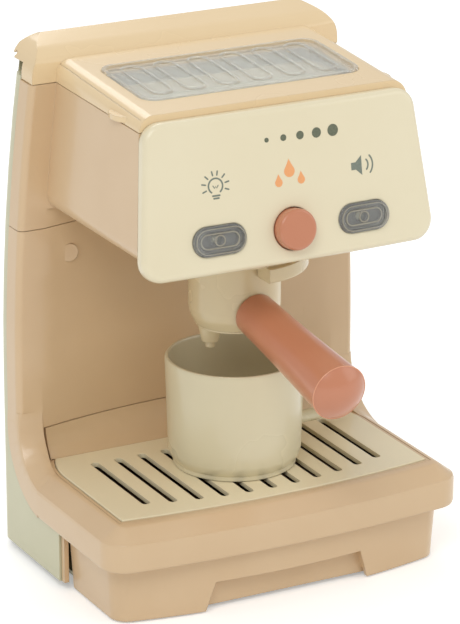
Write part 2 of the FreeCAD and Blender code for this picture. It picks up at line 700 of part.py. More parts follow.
def cap_block(inset):
    """The raised cap over the column, with big rounded ends and a soft ridge."""
    top = CAP_BACK_Z - inset
    w = TOP_HALF + 0.3 - inset
    front_view = box(-w, w, 0, 90, HEAD_SEAM_Z - 4, top)
    long_edges = []
    for e in front_view.Edges:
        mid = e.valueAt((e.FirstParameter + e.LastParameter) / 2)
        if abs(e.tangentAt(e.FirstParameter).y) > 0.9 and mid.z > top - 0.1:
            long_edges.append(e)
    front_view = front_view.makeFillet(CAP_END_R - inset, long_edges)
    back = REAR_Y + 0.1 - inset
    low = HEAD_SEAM_Z - 3.0
    points = [(FRAME_Y + inset, low), (back, low), (back, CAP_BACK_Z - 5.0 - inset), (back - 4.2, CAP_BACK_Z - inset)]
    points += [(CAP_RIDGE_Y + 2.0, CAP_RIDGE_Z + 0.6 - inset), (CAP_RIDGE_Y - 1.6, CAP_RIDGE_Z - 0.8 - inset)]
    points += [(FRAME_Y + 1.2 + inset, CREASE_Z + 1.2 - inset), (FRAME_Y + inset, CREASE_Z - 1.0 - inset)]
    side_view = side_prism(points, -100, 100)
    bends = ((back - 4.2, CAP_BACK_Z - inset), (CAP_RIDGE_Y + 2.0, CAP_RIDGE_Z + 0.6 - inset))
    side_view = round_along(side_view, 2.4, lambda e, m: any(abs(m.y - y) + abs(m.z - z) < 0.1 for y, z in bends))
    return front_view.common(side_view)


def round_along(shape, r, test):
    """Round the edges picked by a test on their middle point."""
    picked = []
    for e in shape.Edges:
        mid = e.valueAt((e.FirstParameter + e.LastParameter) / 2)
        if test(e, mid):
            picked.append(e)
    return shape.makeFillet(r, picked)


def top_cover():
    long = 92.0
    head = to_lid(top_outline(HEAD_TOP_HALF, 0.0, LID_EDGE_R, -long, 6.0, -14.0))
    head = head.common(behind_panel(SEAM))
    cap = cap_block(0.0)
    inner = to_lid(box(-HEAD_TOP_HALF + WALL, HEAD_TOP_HALF - WALL, -long + 2, 8.0, -16.0, -WALL))
    inner = inner.common(behind_panel(SEAM + WALL))
    body = head.fuse(cap).cut(inner).cut(cap_block(WALL).common(box(-100, 100, 30, REAR_Y - 4.8, 0, 300)))
    low = [(-140, 100), (-140, HEAD_FRONT_SEAM_Z - 2.6 + SEAM / 2), (-42, HEAD_FRONT_SEAM_Z + SEAM / 2)]
    low += [(FRAME_Y, HEAD_SEAM_Z + SEAM / 2), (SPLIT_Y - 0.2, HEAD_SEAM_Z + SEAM / 2 + 0.3)]
    low += [(SPLIT_Y - 0.2, COLUMN_TOP + 0.5), (HINGE_Y, COLUMN_TOP + 0.5), (90, COLUMN_TOP + 0.5), (90, 100)]
    body = body.cut(side_prism(low, -200, 200))
    barrel = rod(HINGE_R, 2 * TOP_HALF - 18, V(-TOP_HALF + 9, HINGE_Y, HINGE_Z), X_AXIS)
    trim = box(-100, 100, HINGE_Y, REAR_Y + 2, COLUMN_TOP - 3, HINGE_Z)
    body = body.cut(trim).fuse(barrel)
    body = body.fuse(box(-TOP_HALF + 9, TOP_HALF - 9, HINGE_Y - 1.8, HINGE_Y + 1.8, HINGE_Z, HINGE_Z + 5))
    body = body.cut(rod(HINGE_PIN_R + FIT, 200, V(-100, HINGE_Y, HINGE_Z), X_AXIS))
    for x in (-LUG_X, LUG_X):
        body = body.cut(box(x - LUG_W / 2 - 0.4, x + LUG_W / 2 + 0.4, HINGE_Y - HINGE_R - 0.4, REAR_Y + 2,
                            COLUMN_TOP - 3, HINGE_Z + HINGE_R + 0.5))
    hole = rounded_box(-WINDOW_HALF, WINDOW_HALF, WINDOW_FRONT, WINDOW_BACK, -10, 10, WINDOW_R)
    body = body.cut(to_lid(hole))
    ledge = rounded_box(-WINDOW_HALF - 0.5, WINDOW_HALF + 0.5, WINDOW_FRONT - 0.5, WINDOW_BACK + 0.5, -3.4, -WALL, 8.5)
    ledge = ledge.cut(rounded_box(-WINDOW_HALF + 2, WINDOW_HALF - 2, WINDOW_FRONT + 2, WINDOW_BACK - 2, -5, 0, 6))
    body = body.fuse(to_lid(ledge))
    for side in (-1, 1):
        body = body.fuse(finger_tab(side))
    return body.removeSplitter()


def finger_tab(side):
    """A small lens-shaped lip on the lid's lower edge for a fingertip."""
    x = side * (HEAD_TOP_HALF - 1.0)
    y = -24.0
    z = HEAD_SEAM_Z - 1.0
    lip = Part.makeCylinder(13.0, 2.6, V(x - side * 9.2, y, z))
    keep = box(min(x, x + side * 4), max(x, x + side * 4), y - 9, y + 9, z, z + 2.6)
    return lip.common(keep)


def top_window():
    """The clear window: flanged plate, raised border and six embossed bars."""
    c = 0.3
    plate = rounded_box(-WINDOW_HALF + c, WINDOW_HALF - c, WINDOW_FRONT + c, WINDOW_BACK - c, -WALL, -0.4, WINDOW_R - c)
    rim = rounded_box(-WINDOW_HALF + c, WINDOW_HALF - c, WINDOW_FRONT + c, WINDOW_BACK - c, -0.6, 0.8, WINDOW_R - c)
    rim = rim.cut(rounded_box(-WINDOW_HALF + 2.2, WINDOW_HALF - 2.2, WINDOW_FRONT + 2.2, WINDOW_BACK - 2.2, -2, 3, 6.2))
    plate = plate.fuse(rim)
    start = -(RIBS - 1) / 2 * RIB_PITCH
    for k in range(RIBS):
        x = start + k * RIB_PITCH
        bar = rounded_box(x - RIB_W / 2, x + RIB_W / 2, WINDOW_FRONT + 7, WINDOW_BACK - 5, -0.5, 0.9, RIB_W / 2 - 0.05)
        dish = rounded_box(x - RIB_W / 2 + 1.3, x + RIB_W / 2 - 1.3, WINDOW_FRONT + 8.3, WINDOW_BACK - 6.3, -0.3, 2,
                           RIB_W / 2 - 1.4)
        plate = plate.fuse(bar.cut(dish))
    return to_lid(plate.removeSplitter())


def water_tank():
    outer = rounded_box(-TANK_HALF, TANK_HALF, TANK_FRONT, TANK_BACK, TANK_LOW_Z, 233.4, 8)
    inner = rounded_box(-TANK_HALF + 1.8, TANK_HALF - 1.8, TANK_FRONT + 1.8, TANK_BACK - 1.8, TANK_LOW_Z + 1.8, 240, 6.2)
    ledge = rounded_box(-TANK_HALF + 1, TANK_HALF - 1, TANK_FRONT + 1, TANK_BACK - 1, 223.6, 225.6, 7)
    ledge = ledge.cut(rounded_box(-TANK_HALF + 4.4, TANK_HALF - 4.4, TANK_FRONT + 4.4, TANK_BACK - 4.4, 220, 230, 4))
    tank = outer.cut(inner).fuse(ledge)
    spigot = rod(3.4, 9, V(PUMP_X - SPIGOT_ASIDE, PUMP_Y, TANK_LOW_Z - 8))
    tank = tank.fuse(spigot).cut(rod(2.0, 20, V(PUMP_X - SPIGOT_ASIDE, PUMP_Y, TANK_LOW_Z - 10)))
    cut_top = under_lid(0.9)
    return tank.common(cut_top).removeSplitter()


def strainer_plate():
    """The grey-green plate under the window, with drain slots along both ends."""
    c = 2.2
    plate = rounded_box(-TANK_HALF + c, TANK_HALF - c, TANK_FRONT + c, TANK_BACK - c, 225.7, 227.3, 6)
    for side in (-1, 1):
        for k in range(-3, 4):
            plate = plate.cut(box(side * 54 - 1.2, side * 54 + 1.2, k * 7 - 4.5, k * 7 - 0.5, 220, 230))
    return plate


def pump_housing():
    z = HEAD_LOW_Z + WALL
    body = rod(13.0, 9.0, V(PUMP_X, PUMP_Y, z + 0.1)).cut(rod(11.2, 7.4, V(PUMP_X, PUMP_Y, z + 1.8)))
    inlet = rod(3.2, 6, V(PUMP_X - 16, PUMP_Y, z + 4.5), X_AXIS)
    body = body.fuse(inlet).cut(rod(1.8, 12, V(PUMP_X - 17, PUMP_Y, z + 4.5), X_AXIS))
    for turn in (60, 180, 300):
        a = math.radians(turn)
        ear = rod(3.0, 2.0, V(PUMP_X + 14.5 * math.cos(a), PUMP_Y + 14.5 * math.sin(a), z + 0.1))
        if turn != 180:
            body = body.fuse(ear)
    return body.removeSplitter()


def pump_cover():
    z = HEAD_LOW_Z + WALL + 9.2
    cover = rod(13.0, 1.8, V(PUMP_X, PUMP_Y, z)).cut(rod(1.2, 5, V(PUMP_X, PUMP_Y, z - 1)))
    at = V(PUMP_X + NECK_ASIDE, PUMP_Y - NECK_FORWARD, z + 1.0)
    neck = rod(3.2, NECK_TOP - 10.2, at)
    return cover.fuse(neck).cut(rod(1.8, 9, at - V(0, 0, 2.0))).removeSplitter()


def pump_impeller():
    z = HEAD_LOW_Z + WALL + 3.0
    wheel = rod(9.4, 1.4, V(PUMP_X, PUMP_Y, z)).fuse(rod(2.6, 5.4, V(PUMP_X, PUMP_Y, z)))
    for k in range(6):
        blade = box(2.0, 9.2, -0.5, 0.5, 0, 4.2)
        blade.rotate(MIDDLE, UP, 60.0 * k)
        blade.translate(V(PUMP_X, PUMP_Y, z + 0.5))
        wheel = wheel.fuse(blade)
    return wheel.cut(rod(0.9, 20, V(PUMP_X, PUMP_Y, z - 5))).removeSplitter()


def motor_shaft():
    z = HEAD_LOW_Z + WALL + 3.0
    return rod(0.9, 11.0, V(PUMP_X, PUMP_Y, z))


def pump_motor():
    z = HEAD_LOW_Z + WALL + 11.1
    can = rod(MOTOR_R, 12.0, V(PUMP_X, PUMP_Y, z)).cut(box(-100, 100, PUMP_Y + 5.4, 60, 0, 300))
    return can.cut(rod(1.0, 5.0, V(PUMP_X, PUMP_Y, z - 1)))


NODES = {}


def add(name, shape):
    NODES[name] = shape


def tube(points, r, bend):
    """A solid round tube along straight runs joined by arcs."""
    edges = []
    last = points[0]
    for a, b, c in zip(points, points[1:], points[2:]):
        u = (a - b).normalize()
        w = (c - b).normalize()
        angle = u.getAngle(w)
        back = bend / math.tan(angle / 2)
        start = b + u * back
        end = b + w * back
        mid = b + (u + w).normalize() * (bend / math.sin(angle / 2) - bend)
        edges.append(line(last, start))
        edges.append(arc(start, mid, end))
        last = end
    edges.append(line(last, points[-1]))
    path = Part.Wire(edges)
    first = (points[1] - points[0]).normalize()
    ring = Part.Wire([Part.Circle(points[0], first, r).toShape()])
    return path.makePipeShell([ring], True, True)


def inlet_hose():
    """From the tank's spigot aside and down to the pump's inlet."""
    z = HEAD_LOW_Z + WALL + 4.6
    far = PUMP_X - SPIGOT_ASIDE
    points = [V(far, PUMP_Y, TANK_LOW_Z - 8.3), V(far, PUMP_Y, z), V(PUMP_X - 16.3, PUMP_Y, z)]
    return tube(points, 3.0, 6.0)


def outlet_hose():
    """From the pump's cover over to the middle of the brewing group."""
    z = HEAD_LOW_Z + WALL + NECK_TOP
    x = PUMP_X + NECK_ASIDE
    y = PUMP_Y - NECK_FORWARD
    points = [V(x, y, z), V(x, y, z + 9), V(x, y - 18, z + 9), V(0, y - 18, z + 9), V(0, y - 18, HEAD_LOW_Z + 7)]
    return tube(points, 2.4, 5.0)


def group_head():
    """The fixed cream collar under the head, with bayonet gaps and a spray plate."""
    top = HEAD_LOW_Z - SEAM
    collar = rod(COLLAR_R, 7.0, V(0, GROUP_Y, COLLAR_Z))
    collar = round_along(collar, 1.2, lambda e, m: m.z < COLLAR_Z + 0.1)
    for start in (150.0, 330.0):
        gap = Part.makeCylinder(COLLAR_R + 2, 12, V(0, GROUP_Y, COLLAR_Z - 2), UP, 120)
        gap.rotate(V(0, GROUP_Y, 0), UP, start)
        collar = collar.cut(gap)
    collar = collar.fuse(rod(COLLAR_R - 3, top - COLLAR_Z - 7.0, V(0, GROUP_Y, COLLAR_Z + 7.0)))
    collar = collar.cut(rod(BODY_R + 0.8, 40, V(0, GROUP_Y, COLLAR_Z - 5)).common(box(-50, 50, -60, 60, 0, top - 3)))
    collar = collar.fuse(rod(4.0, 9.4, V(0, -20.0, top - 3)))
    return collar.cut(rod(1.6, 30, V(0, -20.0, top - 12))).removeSplitter()


def portafilter_body():
    """The round cream brewing cup that turns in the collar."""
    top = HEAD_LOW_Z - SEAM - 3.4
    outline = [(0, BODY_LOW_Z), (BODY_R - 3.0, BODY_LOW_Z), (BODY_R - 0.8, BODY_LOW_Z + 4.6), (BODY_R, BODY_LOW_Z + 9.0)]
    outline += [(BODY_R, top), (BODY_R - 1.8, top), (BODY_R - 1.8, BODY_LOW_Z + 9), (BODY_R - 3, BODY_LOW_Z + 3)]
    outline += [(0, BODY_LOW_Z + 3)]
    wire = polygon([V(r, GROUP_Y, z) for r, z in outline])
    body = Part.Face(wire).revolve(V(0, GROUP_Y, 0), UP, 360)
    for side in (-1, 1):
        body = body.cut(rod(1.7, 10, V(side * SPOUT_X, GROUP_Y, BODY_LOW_Z - 2)))
    boss = rod(8.0, 7.0, V(0, GROUP_Y - BODY_R + 1.0, HANDLE_Z), V(0, -1, 0))
    boss.rotate(V(0, GROUP_Y - BODY_R + 1.0, HANDLE_Z), X_AXIS, HANDLE_DROP)
    hole = rod(1.3, 20, V(0, GROUP_Y - BODY_R + 8.0, HANDLE_Z), V(0, -1, 0))
    hole.rotate(V(0, GROUP_Y - BODY_R + 1.0, HANDLE_Z), X_AXIS, HANDLE_DROP)
    room = rod(BODY_R - 1.9, 30, V(0, GROUP_Y, BODY_LOW_Z + 5))
    return body.fuse(boss.cut(room)).cut(hole).removeSplitter()


def filter_basket():
    """The perforated basket dropped into the brewing cup."""
    top = HEAD_LOW_Z - SEAM - 4.0
    r = BODY_R - 2.1
    cup = rod(r, top - BODY_LOW_Z - 12, V(0, GROUP_Y, BODY_LOW_Z + 12)).cut(
        rod(r - 1.0, 60, V(0, GROUP_Y, BODY_LOW_Z + 13)))
    for ring, count in ((5.0, 6), (10.0, 12), (15.0, 18)):
        for k in range(count):
            a = 2 * math.pi * k / count
            cup = cup.cut(rod(0.8, 5, V(ring * math.cos(a), GROUP_Y + ring * math.sin(a), BODY_LOW_Z + 10)))
    return cup


def spout(side):
    """One cone-shaped spout with a small tip and its bore."""
    x = side * SPOUT_X
    cone = Part.makeCone(4.1, 6.0, 8.4, V(x, GROUP_Y, SPOUT_LOW_Z + 3.0))
    cone = cone.fuse(rod(2.3, 3.4, V(x, GROUP_Y, SPOUT_LOW_Z)))
    return cone.cut(rod(1.2, 20, V(x, GROUP_Y, SPOUT_LOW_Z - 3)))


def spout_pair():
    block = rod(BODY_R - 3.4, 0.9, V(0, GROUP_Y, BODY_LOW_Z - 0.95))
    pair = block.fuse(spout(-1)).fuse(spout(1)).common(box(-60, 60, -60, 60, 0, BODY_LOW_Z - 0.05))
    for side in (-1, 1):
        pair = pair.cut(rod(1.2, 20, V(side * SPOUT_X, GROUP_Y, BODY_LOW_Z - 15)))
    return pair.removeSplitter()


def to_handle(shape):
    """Move a shape built along -Y from the origin to the handle's drooping line."""
    moved = shape.copy()
    moved.rotate(MIDDLE, X_AXIS, HANDLE_DROP)
    moved.translate(V(0, GROUP_Y - BODY_R + 1.0, HANDLE_Z))
    return moved


def portafilter_handle():
    long = HANDLE_LONG - BODY_R - 1.0
    outline = [(0, 0), (HANDLE_ROOT_R, 0), (HANDLE_ROOT_R + 0.9, long * 0.4), (HANDLE_END_R, long - 1.0), (0, long - 1.0)]
    edges = [line(V(0, 0, 0), V(HANDLE_ROOT_R, 0, 0))]
    edges.append(arc(V(HANDLE_ROOT_R, 0, 0), V(HANDLE_ROOT_R + 1.1, -long * 0.5, 0), V(HANDLE_END_R, 1.0 - long, 0)))
    edges.append(line(V(HANDLE_END_R, 1.0 - long, 0), V(0, 1.0 - long, 0)))
    edges.append(line(V(0, 1.0 - long, 0), V(0, 0, 0)))
    grip = Part.Face(Part.Wire(edges)).revolve(MIDDLE, V(0, -1, 0), 360)
    grip = grip.cut(rod(8.1, 9.0, V(0, 2.0, 0), V(0, -1, 0)))
    grip = grip.cut(rod(8.0, long, V(0, -22.0, 0), V(0, -1, 0)))
    grip = grip.cut(rod(1.5, 30, V(0, 0, 0), V(0, -1, 0)))
    return to_handle(grip).cut(rod(BODY_R + 0.05, 60, V(0, GROUP_Y, 100)))


def handle_screw():
    shank = rod(1.25, 18.0, V(0, -4.0, 0), V(0, -1, 0))
    head = rod(2.8, 1.8, V(0, -22.0, 0), V(0, -1, 0))
    return to_handle(shank.fuse(head))


def handle_end_cap():
    """The domed end cap with its fine seam step and a plug inside the grip."""
    long = HANDLE_LONG - BODY_R - 1.0
    r = HANDLE_END_R - 0.1
    ball = (r * r + CAP_DOME * CAP_DOME) / (2 * CAP_DOME)
    centre = -(long - 0.9) + ball - CAP_DOME
    dome = Part.makeSphere(ball, V(0, centre, 0)).common(rod(r, CAP_DOME + 1, V(0, -(long - 0.9), 0), V(0, -1, 0)))
    plug = rod(7.95, 7.0, V(0, -(long - 7.8), 0), V(0, -1, 0)).cut(rod(6.4, 7.5, V(0, -(long - 8.8), 0), V(0, -1, 0)))
    return to_handle(dome.fuse(plug).removeSplitter())


def coffee_cup():
    """A straight-sided cup with a rolled rim, stepped foot ring and a D handle."""
    z = DECK_Z + 0.6 + GAP
    h = CUP_H
    r0 = CUP_R - 1.4
    edges = []
    points = [(0, 3.2), (CUP_FOOT_R - 3.4, 3.2), (CUP_FOOT_R - 2.6, 0), (CUP_FOOT_R, 0), (CUP_FOOT_R, 2.2)]
    points += [(r0 - 1.4, 3.4), (r0, 7.0), (CUP_R, h - 1.2), (CUP_R - 0.7, h), (CUP_R - CUP_WALL + 0.7, h)]
    points += [(CUP_R - CUP_WALL, h - 1.2), (r0 - CUP_WALL, 9.0), (r0 - CUP_WALL - 3.0, 5.8), (0, 5.8)]
    edges = polygon([V(r, GROUP_Y, z + dz) for r, dz in points])
    cup = Part.Face(edges).revolve(V(0, GROUP_Y, 0), UP, 360)
    ring_r = 15.0
    path = [line(V(r0 - 0.8, GROUP_Y, z + 45), V(CUP_R + 8.0, GROUP_Y, z + 45))]
    path.append(arc(V(CUP_R + 8.0, GROUP_Y, z + 45), V(CUP_R + 8.0 + ring_r, GROUP_Y, z + 45 - ring_r),
                    V(CUP_R + 8.0, GROUP_Y, z + 45 - 2 * ring_r)))
    path.append(line(V(CUP_R + 8.0, GROUP_Y, z + 45 - 2 * ring_r), V(r0 - 0.8, GROUP_Y, z + 45 - 2 * ring_r)))
    profile = Part.Wire([Part.Ellipse(V(r0 - 0.8, GROUP_Y, z + 45), 4.4, 2.7).toShape()])
    profile.rotate(V(r0 - 0.8, GROUP_Y, z + 45), UP, 90)
    profile.rotate(V(r0 - 0.8, GROUP_Y, z + 45), Y_AXIS, 0)
    profile.rotate(V(r0 - 0.8, GROUP_Y, z + 45), Y_AXIS, 90)
    handle = Part.Wire(path).makePipeShell([profile], True, True)
    inside = rod(r0 - 0.5, 80, V(0, GROUP_Y, z - 5))
    return cup.fuse(handle.cut(inside)).removeSplitter()


def grille_outline(z):
    c = SEAM
    half = TRAY_HALF - 1.9 - c
    back_half = recess_half(DECK_Z) - 2.4
    front = TRAY_FRONT - 1.9 - c
    corner = TRAY_CORNER_Y - 1.6 - c
    edges = [arc(V(-half, -corner, z), V(0, -front, z), V(half, -corner, z))]
    edges.append(line(V(half, -corner, z), V(half, TRAY_STRAIGHT_Y, z)))
    mid_x = half - 1.6
    edges.append(arc(V(half, TRAY_STRAIGHT_Y, z), V(mid_x, 24, z), V(back_half, UPSTAND_FOOT_Y - c, z)))
    edges.append(line(V(back_half, UPSTAND_FOOT_Y - c, z), V(-back_half, UPSTAND_FOOT_Y - c, z)))
    edges.append(arc(V(-back_half, UPSTAND_FOOT_Y - c, z), V(-mid_x, 24, z), V(-half, TRAY_STRAIGHT_Y, z)))
    edges.append(line(V(-half, TRAY_STRAIGHT_Y, z), V(-half, -corner, z)))
    return Part.Wire(edges)


def drip_grille():
    low = DECK_Z + 0.6 - GRILLE_T
    plate = Part.Face(grille_outline(low)).extrude(V(0, 0, GRILLE_T))
    plate = round_along(plate, 0.5, lambda e, m: m.z > low + GRILLE_T - 0.01)
    last = (SLOTS - 1) / 2
    for k in range(SLOTS):
        x = (k - last) * SLOT_PITCH
        front = SLOT_FRONT - (SLOT_FRONT - SLOT_FRONT_EDGE) * ((k - last) / last) ** 2
        plate = plate.cut(rounded_box(x - SLOT_W / 2, x + SLOT_W / 2, -front, SLOT_REAR, low - 1, low + 4, SLOT_W / 2 - 0.05))
    return plate


def drip_tray():
    """A dark-floored basin under the grille, with the coved upstand behind it."""
    low = FLOOR_Z + GAP
    top = DECK_Z - 0.1
    ledge = DECK_Z + 0.6 - GRILLE_T - 0.1
    basin = Part.Face(tray_outline(SEAM, low)).extrude(V(0, 0, top - low))
    seat = Part.Face(grille_outline(ledge)).makeOffset2D(SEAM)
    basin = basin.cut(seat.extrude(V(0, 0, 10)))
    room = Part.Face(grille_outline(low + 1.8)).makeOffset2D(-2.6)
    basin = basin.cut(room.extrude(V(0, 0, 30)))
    cove = Part.Face(tray_outline(SEAM, top - 1)).extrude(V(0, 0, UPSTAND_Z - top + 1))
    side = [(UPSTAND_FOOT_Y, top - 1), (UPSTAND_FOOT_Y, DECK_Z + 0.4), (90, DECK_Z + 0.4), (90, top - 1)]
    foot = cove.common(side_prism(side, -76, 76))
    steps = 3
    sections = []
    for i in range(steps + 1):
        t = i / steps
        z = DECK_Z + 0.3 + (UPSTAND_Z + 1.0 - DECK_Z) * t
        w = recess_half(UPSTAND_Z) - SEAM - 0.4 + 6 * 0
        pull = (1 - t) ** 2.2
        mid_y = (FRAME_Y + RECESS_DEPTH + 0.1) * (1 - pull) + UPSTAND_FOOT_Y * pull
        end_y = (FRAME_Y - 0.4) * (1 - pull) + UPSTAND_FOOT_Y * pull
        edges = [line(V(-w, 90, z), V(-w, end_y, z)), arc(V(-w, end_y, z), V(0, mid_y + 0.01, z), V(w, end_y, z))]
        edges += [line(V(w, end_y, z), V(w, 90, z)), line(V(w, 90, z), V(-w, 90, z))]
        sections.append(Part.Wire(edges))
    shape = Part.makeLoft(sections, True, True)
    cove = cove.common(shape)
    tray = basin.fuse(cove).fuse(foot)
    return tray.cut(rod(2.2, 20, V(0, -30, low - 5))).removeSplitter()


def water_drawer():
    """The pull-out drawer under the rim, with a finger notch in its front skirt."""
    flat = base_outline(DRAWER_HALF, DRAWER_CORNER_Y, DRAWER_FRONT, 11.0, 0.0, 20.0)
    high = RIM_Z - 0.4
    block = Part.makeLoft([inset_wire(flat, DRAWER_TAPER, DRAWER_LOW_Z), inset_wire(flat, 0.0, high)], True, True)
    block = block.common(box(-120, 120, -120, DRAWER_BACK_Y, 0, 100))
    room = inset_wire(flat, 9.0, 7.0)
    block = block.cut(solid_of(room, V(0, 0, 40)).common(box(-120, 120, -120, DRAWER_BACK_Y - 2.2, 0, 100)))
    under = inset_wire(flat, 4.4, 0.0)
    block = block.cut(solid_of(under, V(0, 0, 5.0)))
    y = -80.0
    notch = [V(-NOTCH_HALF, y, -1), V(NOTCH_HALF, y, -1), V(NOTCH_TOP_HALF, y, NOTCH_H), V(-NOTCH_TOP_HALF, y, NOTCH_H)]
    cutter = solid_of(polygon(notch), V(0, 80 - 56.6, 0))
    block = block.cut(cutter)
    panel = box(-NOTCH_HALF - 2, NOTCH_HALF + 2, -56.6, -54.8, 2.2, 8.0)
    return block.fuse(panel).removeSplitter()


def base_plate():
    plate = rounded_box(PLATE_IN - BASE_HALF, BASE_HALF - PLATE_IN, -50, REAR_Y - 3.6, FOOT_H, FOOT_H + 2.0, 6)
    opening = box(-29, 29, BATTERY_Y - 24.5, BATTERY_Y + 24.5, 0, 10)
    plate = plate.cut(opening)
    for x, y in foot_places():
        plate = plate.cut(rod(2.5, 10, V(x, y, 0)))
    for side in (-1, 1):
        plate = plate.fuse(rod(4.0, RIM_Z - FOOT_H - 1.0, V(side * (BASE_HALF - POST_IN), 40, FOOT_H + 0.5)))
        plate = plate.fuse(rod(4.0, RIM_Z - FOOT_H - 1.0, V(side * (BASE_HALF - POST_IN), 6, FOOT_H + 0.5)))
    return plate.removeSplitter()


def foot_places():
    return [(sx * (BASE_HALF - 22.0), y) for sx in (-1, 1) for y in (-40.0, 50.0)]


def rubber_feet():
    feet = []
    for x, y in foot_places():
        foot = rod(6.0, FOOT_H, V(x, y, 0)).fuse(rod(2.45, 4.4, V(x, y, 0)))
        feet.append(foot)
    return Part.makeCompound(feet)


def battery_box():
    y0 = BATTERY_Y - 24.4
    y1 = BATTERY_Y + 24.4
    top = BATTERY_LOW_Z + 2 * CELL_R + 2.4
    outer = box(-31.5, 31.5, y0 - 1, y1 + 1, FOOT_H + 2.05, top)
    inner = box(-29.5, 29.5, y0 + 1, y1 - 1, 0, top - 1.8)
    return outer.cut(inner)


def cell_y(k):
    return BATTERY_Y + (k - (CELLS - 1) / 2) * CELL_PITCH


def batteries():
    cells = []
    z = BATTERY_LOW_Z + CELL_R
    for k in range(CELLS):
        way = 1 if k % 2 == 0 else -1
        body = rod(CELL_R, CELL_LONG - 1.5, V(-way * (CELL_LONG / 2), cell_y(k), z), X_AXIS * way)
        nub = rod(2.7, 1.5, V(way * (CELL_LONG / 2 - 1.5), cell_y(k), z), X_AXIS * way)
        cells.append(body.fuse(nub))
    return Part.makeCompound(cells)


def battery_contacts():
    z = BATTERY_LOW_Z + CELL_R
    plates = []
    for side in (-1, 1):
        for k in range(CELLS):
            x0 = side * 29.4
            x1 = side * 25.4
            blade = box(min(x0, x0 - side * 0.6), max(x0, x0 - side * 0.6), cell_y(k) - 6, cell_y(k) + 6, z - 5, z + 5)
            bump = rod(3.0, abs(x0 - x1) - 0.6, V(min(x1, x0), cell_y(k), z), X_AXIS)
            plates.append(blade.fuse(bump))
    return Part.makeCompound(plates)


def battery_door():
    door = rounded_box(-28.7, 28.7, BATTERY_Y - 24.2, BATTERY_Y + 24.2, FOOT_H, FOOT_H + 1.8, 2)
    rib = box(-20, 20, BATTERY_Y - 0.8, BATTERY_Y + 0.8, FOOT_H + 1.5, BATTERY_LOW_Z - 0.3)
    door = door.fuse(rib)
    return door.cut(rod(1.6, 10, V(0, BATTERY_Y - 20.5, 0))).removeSplitter()


def battery_door_screw():
    at = V(0, BATTERY_Y - 20.5, FOOT_H)
    shank = rod(1.5, 3.2, V(at.x, at.y, FOOT_H))
    return shank.fuse(cross_head(at, 2.9, 1.2, V(0, 0, -1)))


def housing_screws():
    screws = []
    for side in (-1, 1):
        for x, z in screw_places():
            seat = V(side * x, REAR_Y - 1.9, z)
            shank = rod(1.3, 12.0, V(side * x, SPLIT_Y - 4.0, z), Y_AXIS)
            shank = shank.fuse(rod(1.3, 8.1, V(side * x, REAR_Y - 10.0, z), Y_AXIS))
            screws.append(shank.fuse(cross_head(seat, 3.0, 1.4, Y_AXIS)))
    return Part.makeCompound(screws)


def speaker_frame():
    y = REAR_Y - 0.4 - WALL - 5.0
    frame = rod(18.0, 1.6, V(0, y + 3.2, 206), Y_AXIS).cut(rod(14.6, 5, V(0, y + 1, 206), Y_AXIS))
    frame = frame.fuse(rod(10.0, 2.4, V(0, y + 0.0, 206), Y_AXIS))
    rim = rod(16.0, 3.4, V(0, y, 206), Y_AXIS).cut(rod(14.6, 5, V(0, y - 1, 206), Y_AXIS))
    bars = [box(-15, 15, y, y + 1.0, 203, 209), box(-3, 3, y, y + 1.0, 191, 221)]
    return union([frame, rim] + bars).common(rod(18.0, 20, V(0, y - 5, 206), Y_AXIS)).removeSplitter()


def speaker_cone():
    y = REAR_Y - 0.4 - WALL - 5.0
    cone = Part.makeCone(5.0, 14.3, 2.0, V(0, y + 2.5, 206), Y_AXIS)
    inner = Part.makeCone(4.2, 13.6, 2.0, V(0, y + 2.9, 206), Y_AXIS)
    return cone.cut(inner)


def wire_harness():
    """Two leads from the battery box up the column to the board, and the pump's pair."""
    top = BATTERY_LOW_Z + 2 * CELL_R + 2.4
    wires = []
    for k in range(2):
        x = 46.0 + 3.0 * k
        y = SPLIT_Y + 5.0
        points = [V(31.7, BATTERY_Y + 3.0 * k, top - 4), V(x, BATTERY_Y + 3.0 * k, top - 4), V(x, y, top - 4), V(x, y, 196)]
        points += [V(x, y - 26, 196), V(x, y - 26, 186)]
        wires.append(tube(points, 0.8, 3.0))
    return Part.makeCompound(wires)


add("rear_cover", rear_cover())
add("lower_housing", lower_housing())
add("upper_housing", upper_housing())
add("front_panel", front_panel())
add("base_plate", base_plate())
add("drip_tray", drip_tray())
add("drip_grille", drip_grille())
add("water_drawer", water_drawer())
add("top_cover", top_cover())
add("top_window", top_window())
add("lid_hinge_pins", lid_hinge_pins())
add("water_tank", water_tank())
add("strainer_plate", strainer_plate())
add("pump_housing", pump_housing())
add("pump_cover", pump_cover())
add("pump_impeller", pump_impeller())
add("motor_shaft", motor_shaft())
add("pump_motor", pump_motor())
add("inlet_hose", inlet_hose())
add("outlet_hose", outlet_hose())
add("group_head", group_head())
add("portafilter_body", portafilter_body())
add("filter_basket", filter_basket())
add("spout_pair", spout_pair())
add("portafilter_handle", portafilter_handle())
add("handle_screw", handle_screw())
add("handle_end_cap", handle_end_cap())
add("coffee_cup", coffee_cup())
add("lighting_button", to_panel(lens_button(-1)))
add("sound_button", to_panel(lens_button(1)))
add("lighting_reflector", to_panel(lens_reflector(-1)))
add("sound_reflector", to_panel(lens_reflector(1)))
add("lamps", lamps())
add("flow_button", flow_button())
add("lighting_spring", spring(-CONTROL_X + 9.0, CONTROL_Z, 1.8, 0.5, 5, 7.6, BOARD_Y - 0.2))
add("sound_spring", spring(CONTROL_X + 9.0, CONTROL_Z, 1.8, 0.5, 5, 7.6, BOARD_Y - 0.2))
add("flow_spring", spring(0.0, CONTROL_Z, 4.65, 0.6, 4, -3.2, BOARD_Y - 0.2))
add("tact_switches", tact_switches())
add("control_board", control_board())
add("panel_screws", panel_screws())
add("speaker_frame", speaker_frame())
add("speaker_cone", speaker_cone())
add("battery_box", battery_box())
add("batteries", batteries())
add("battery_contacts", battery_contacts())
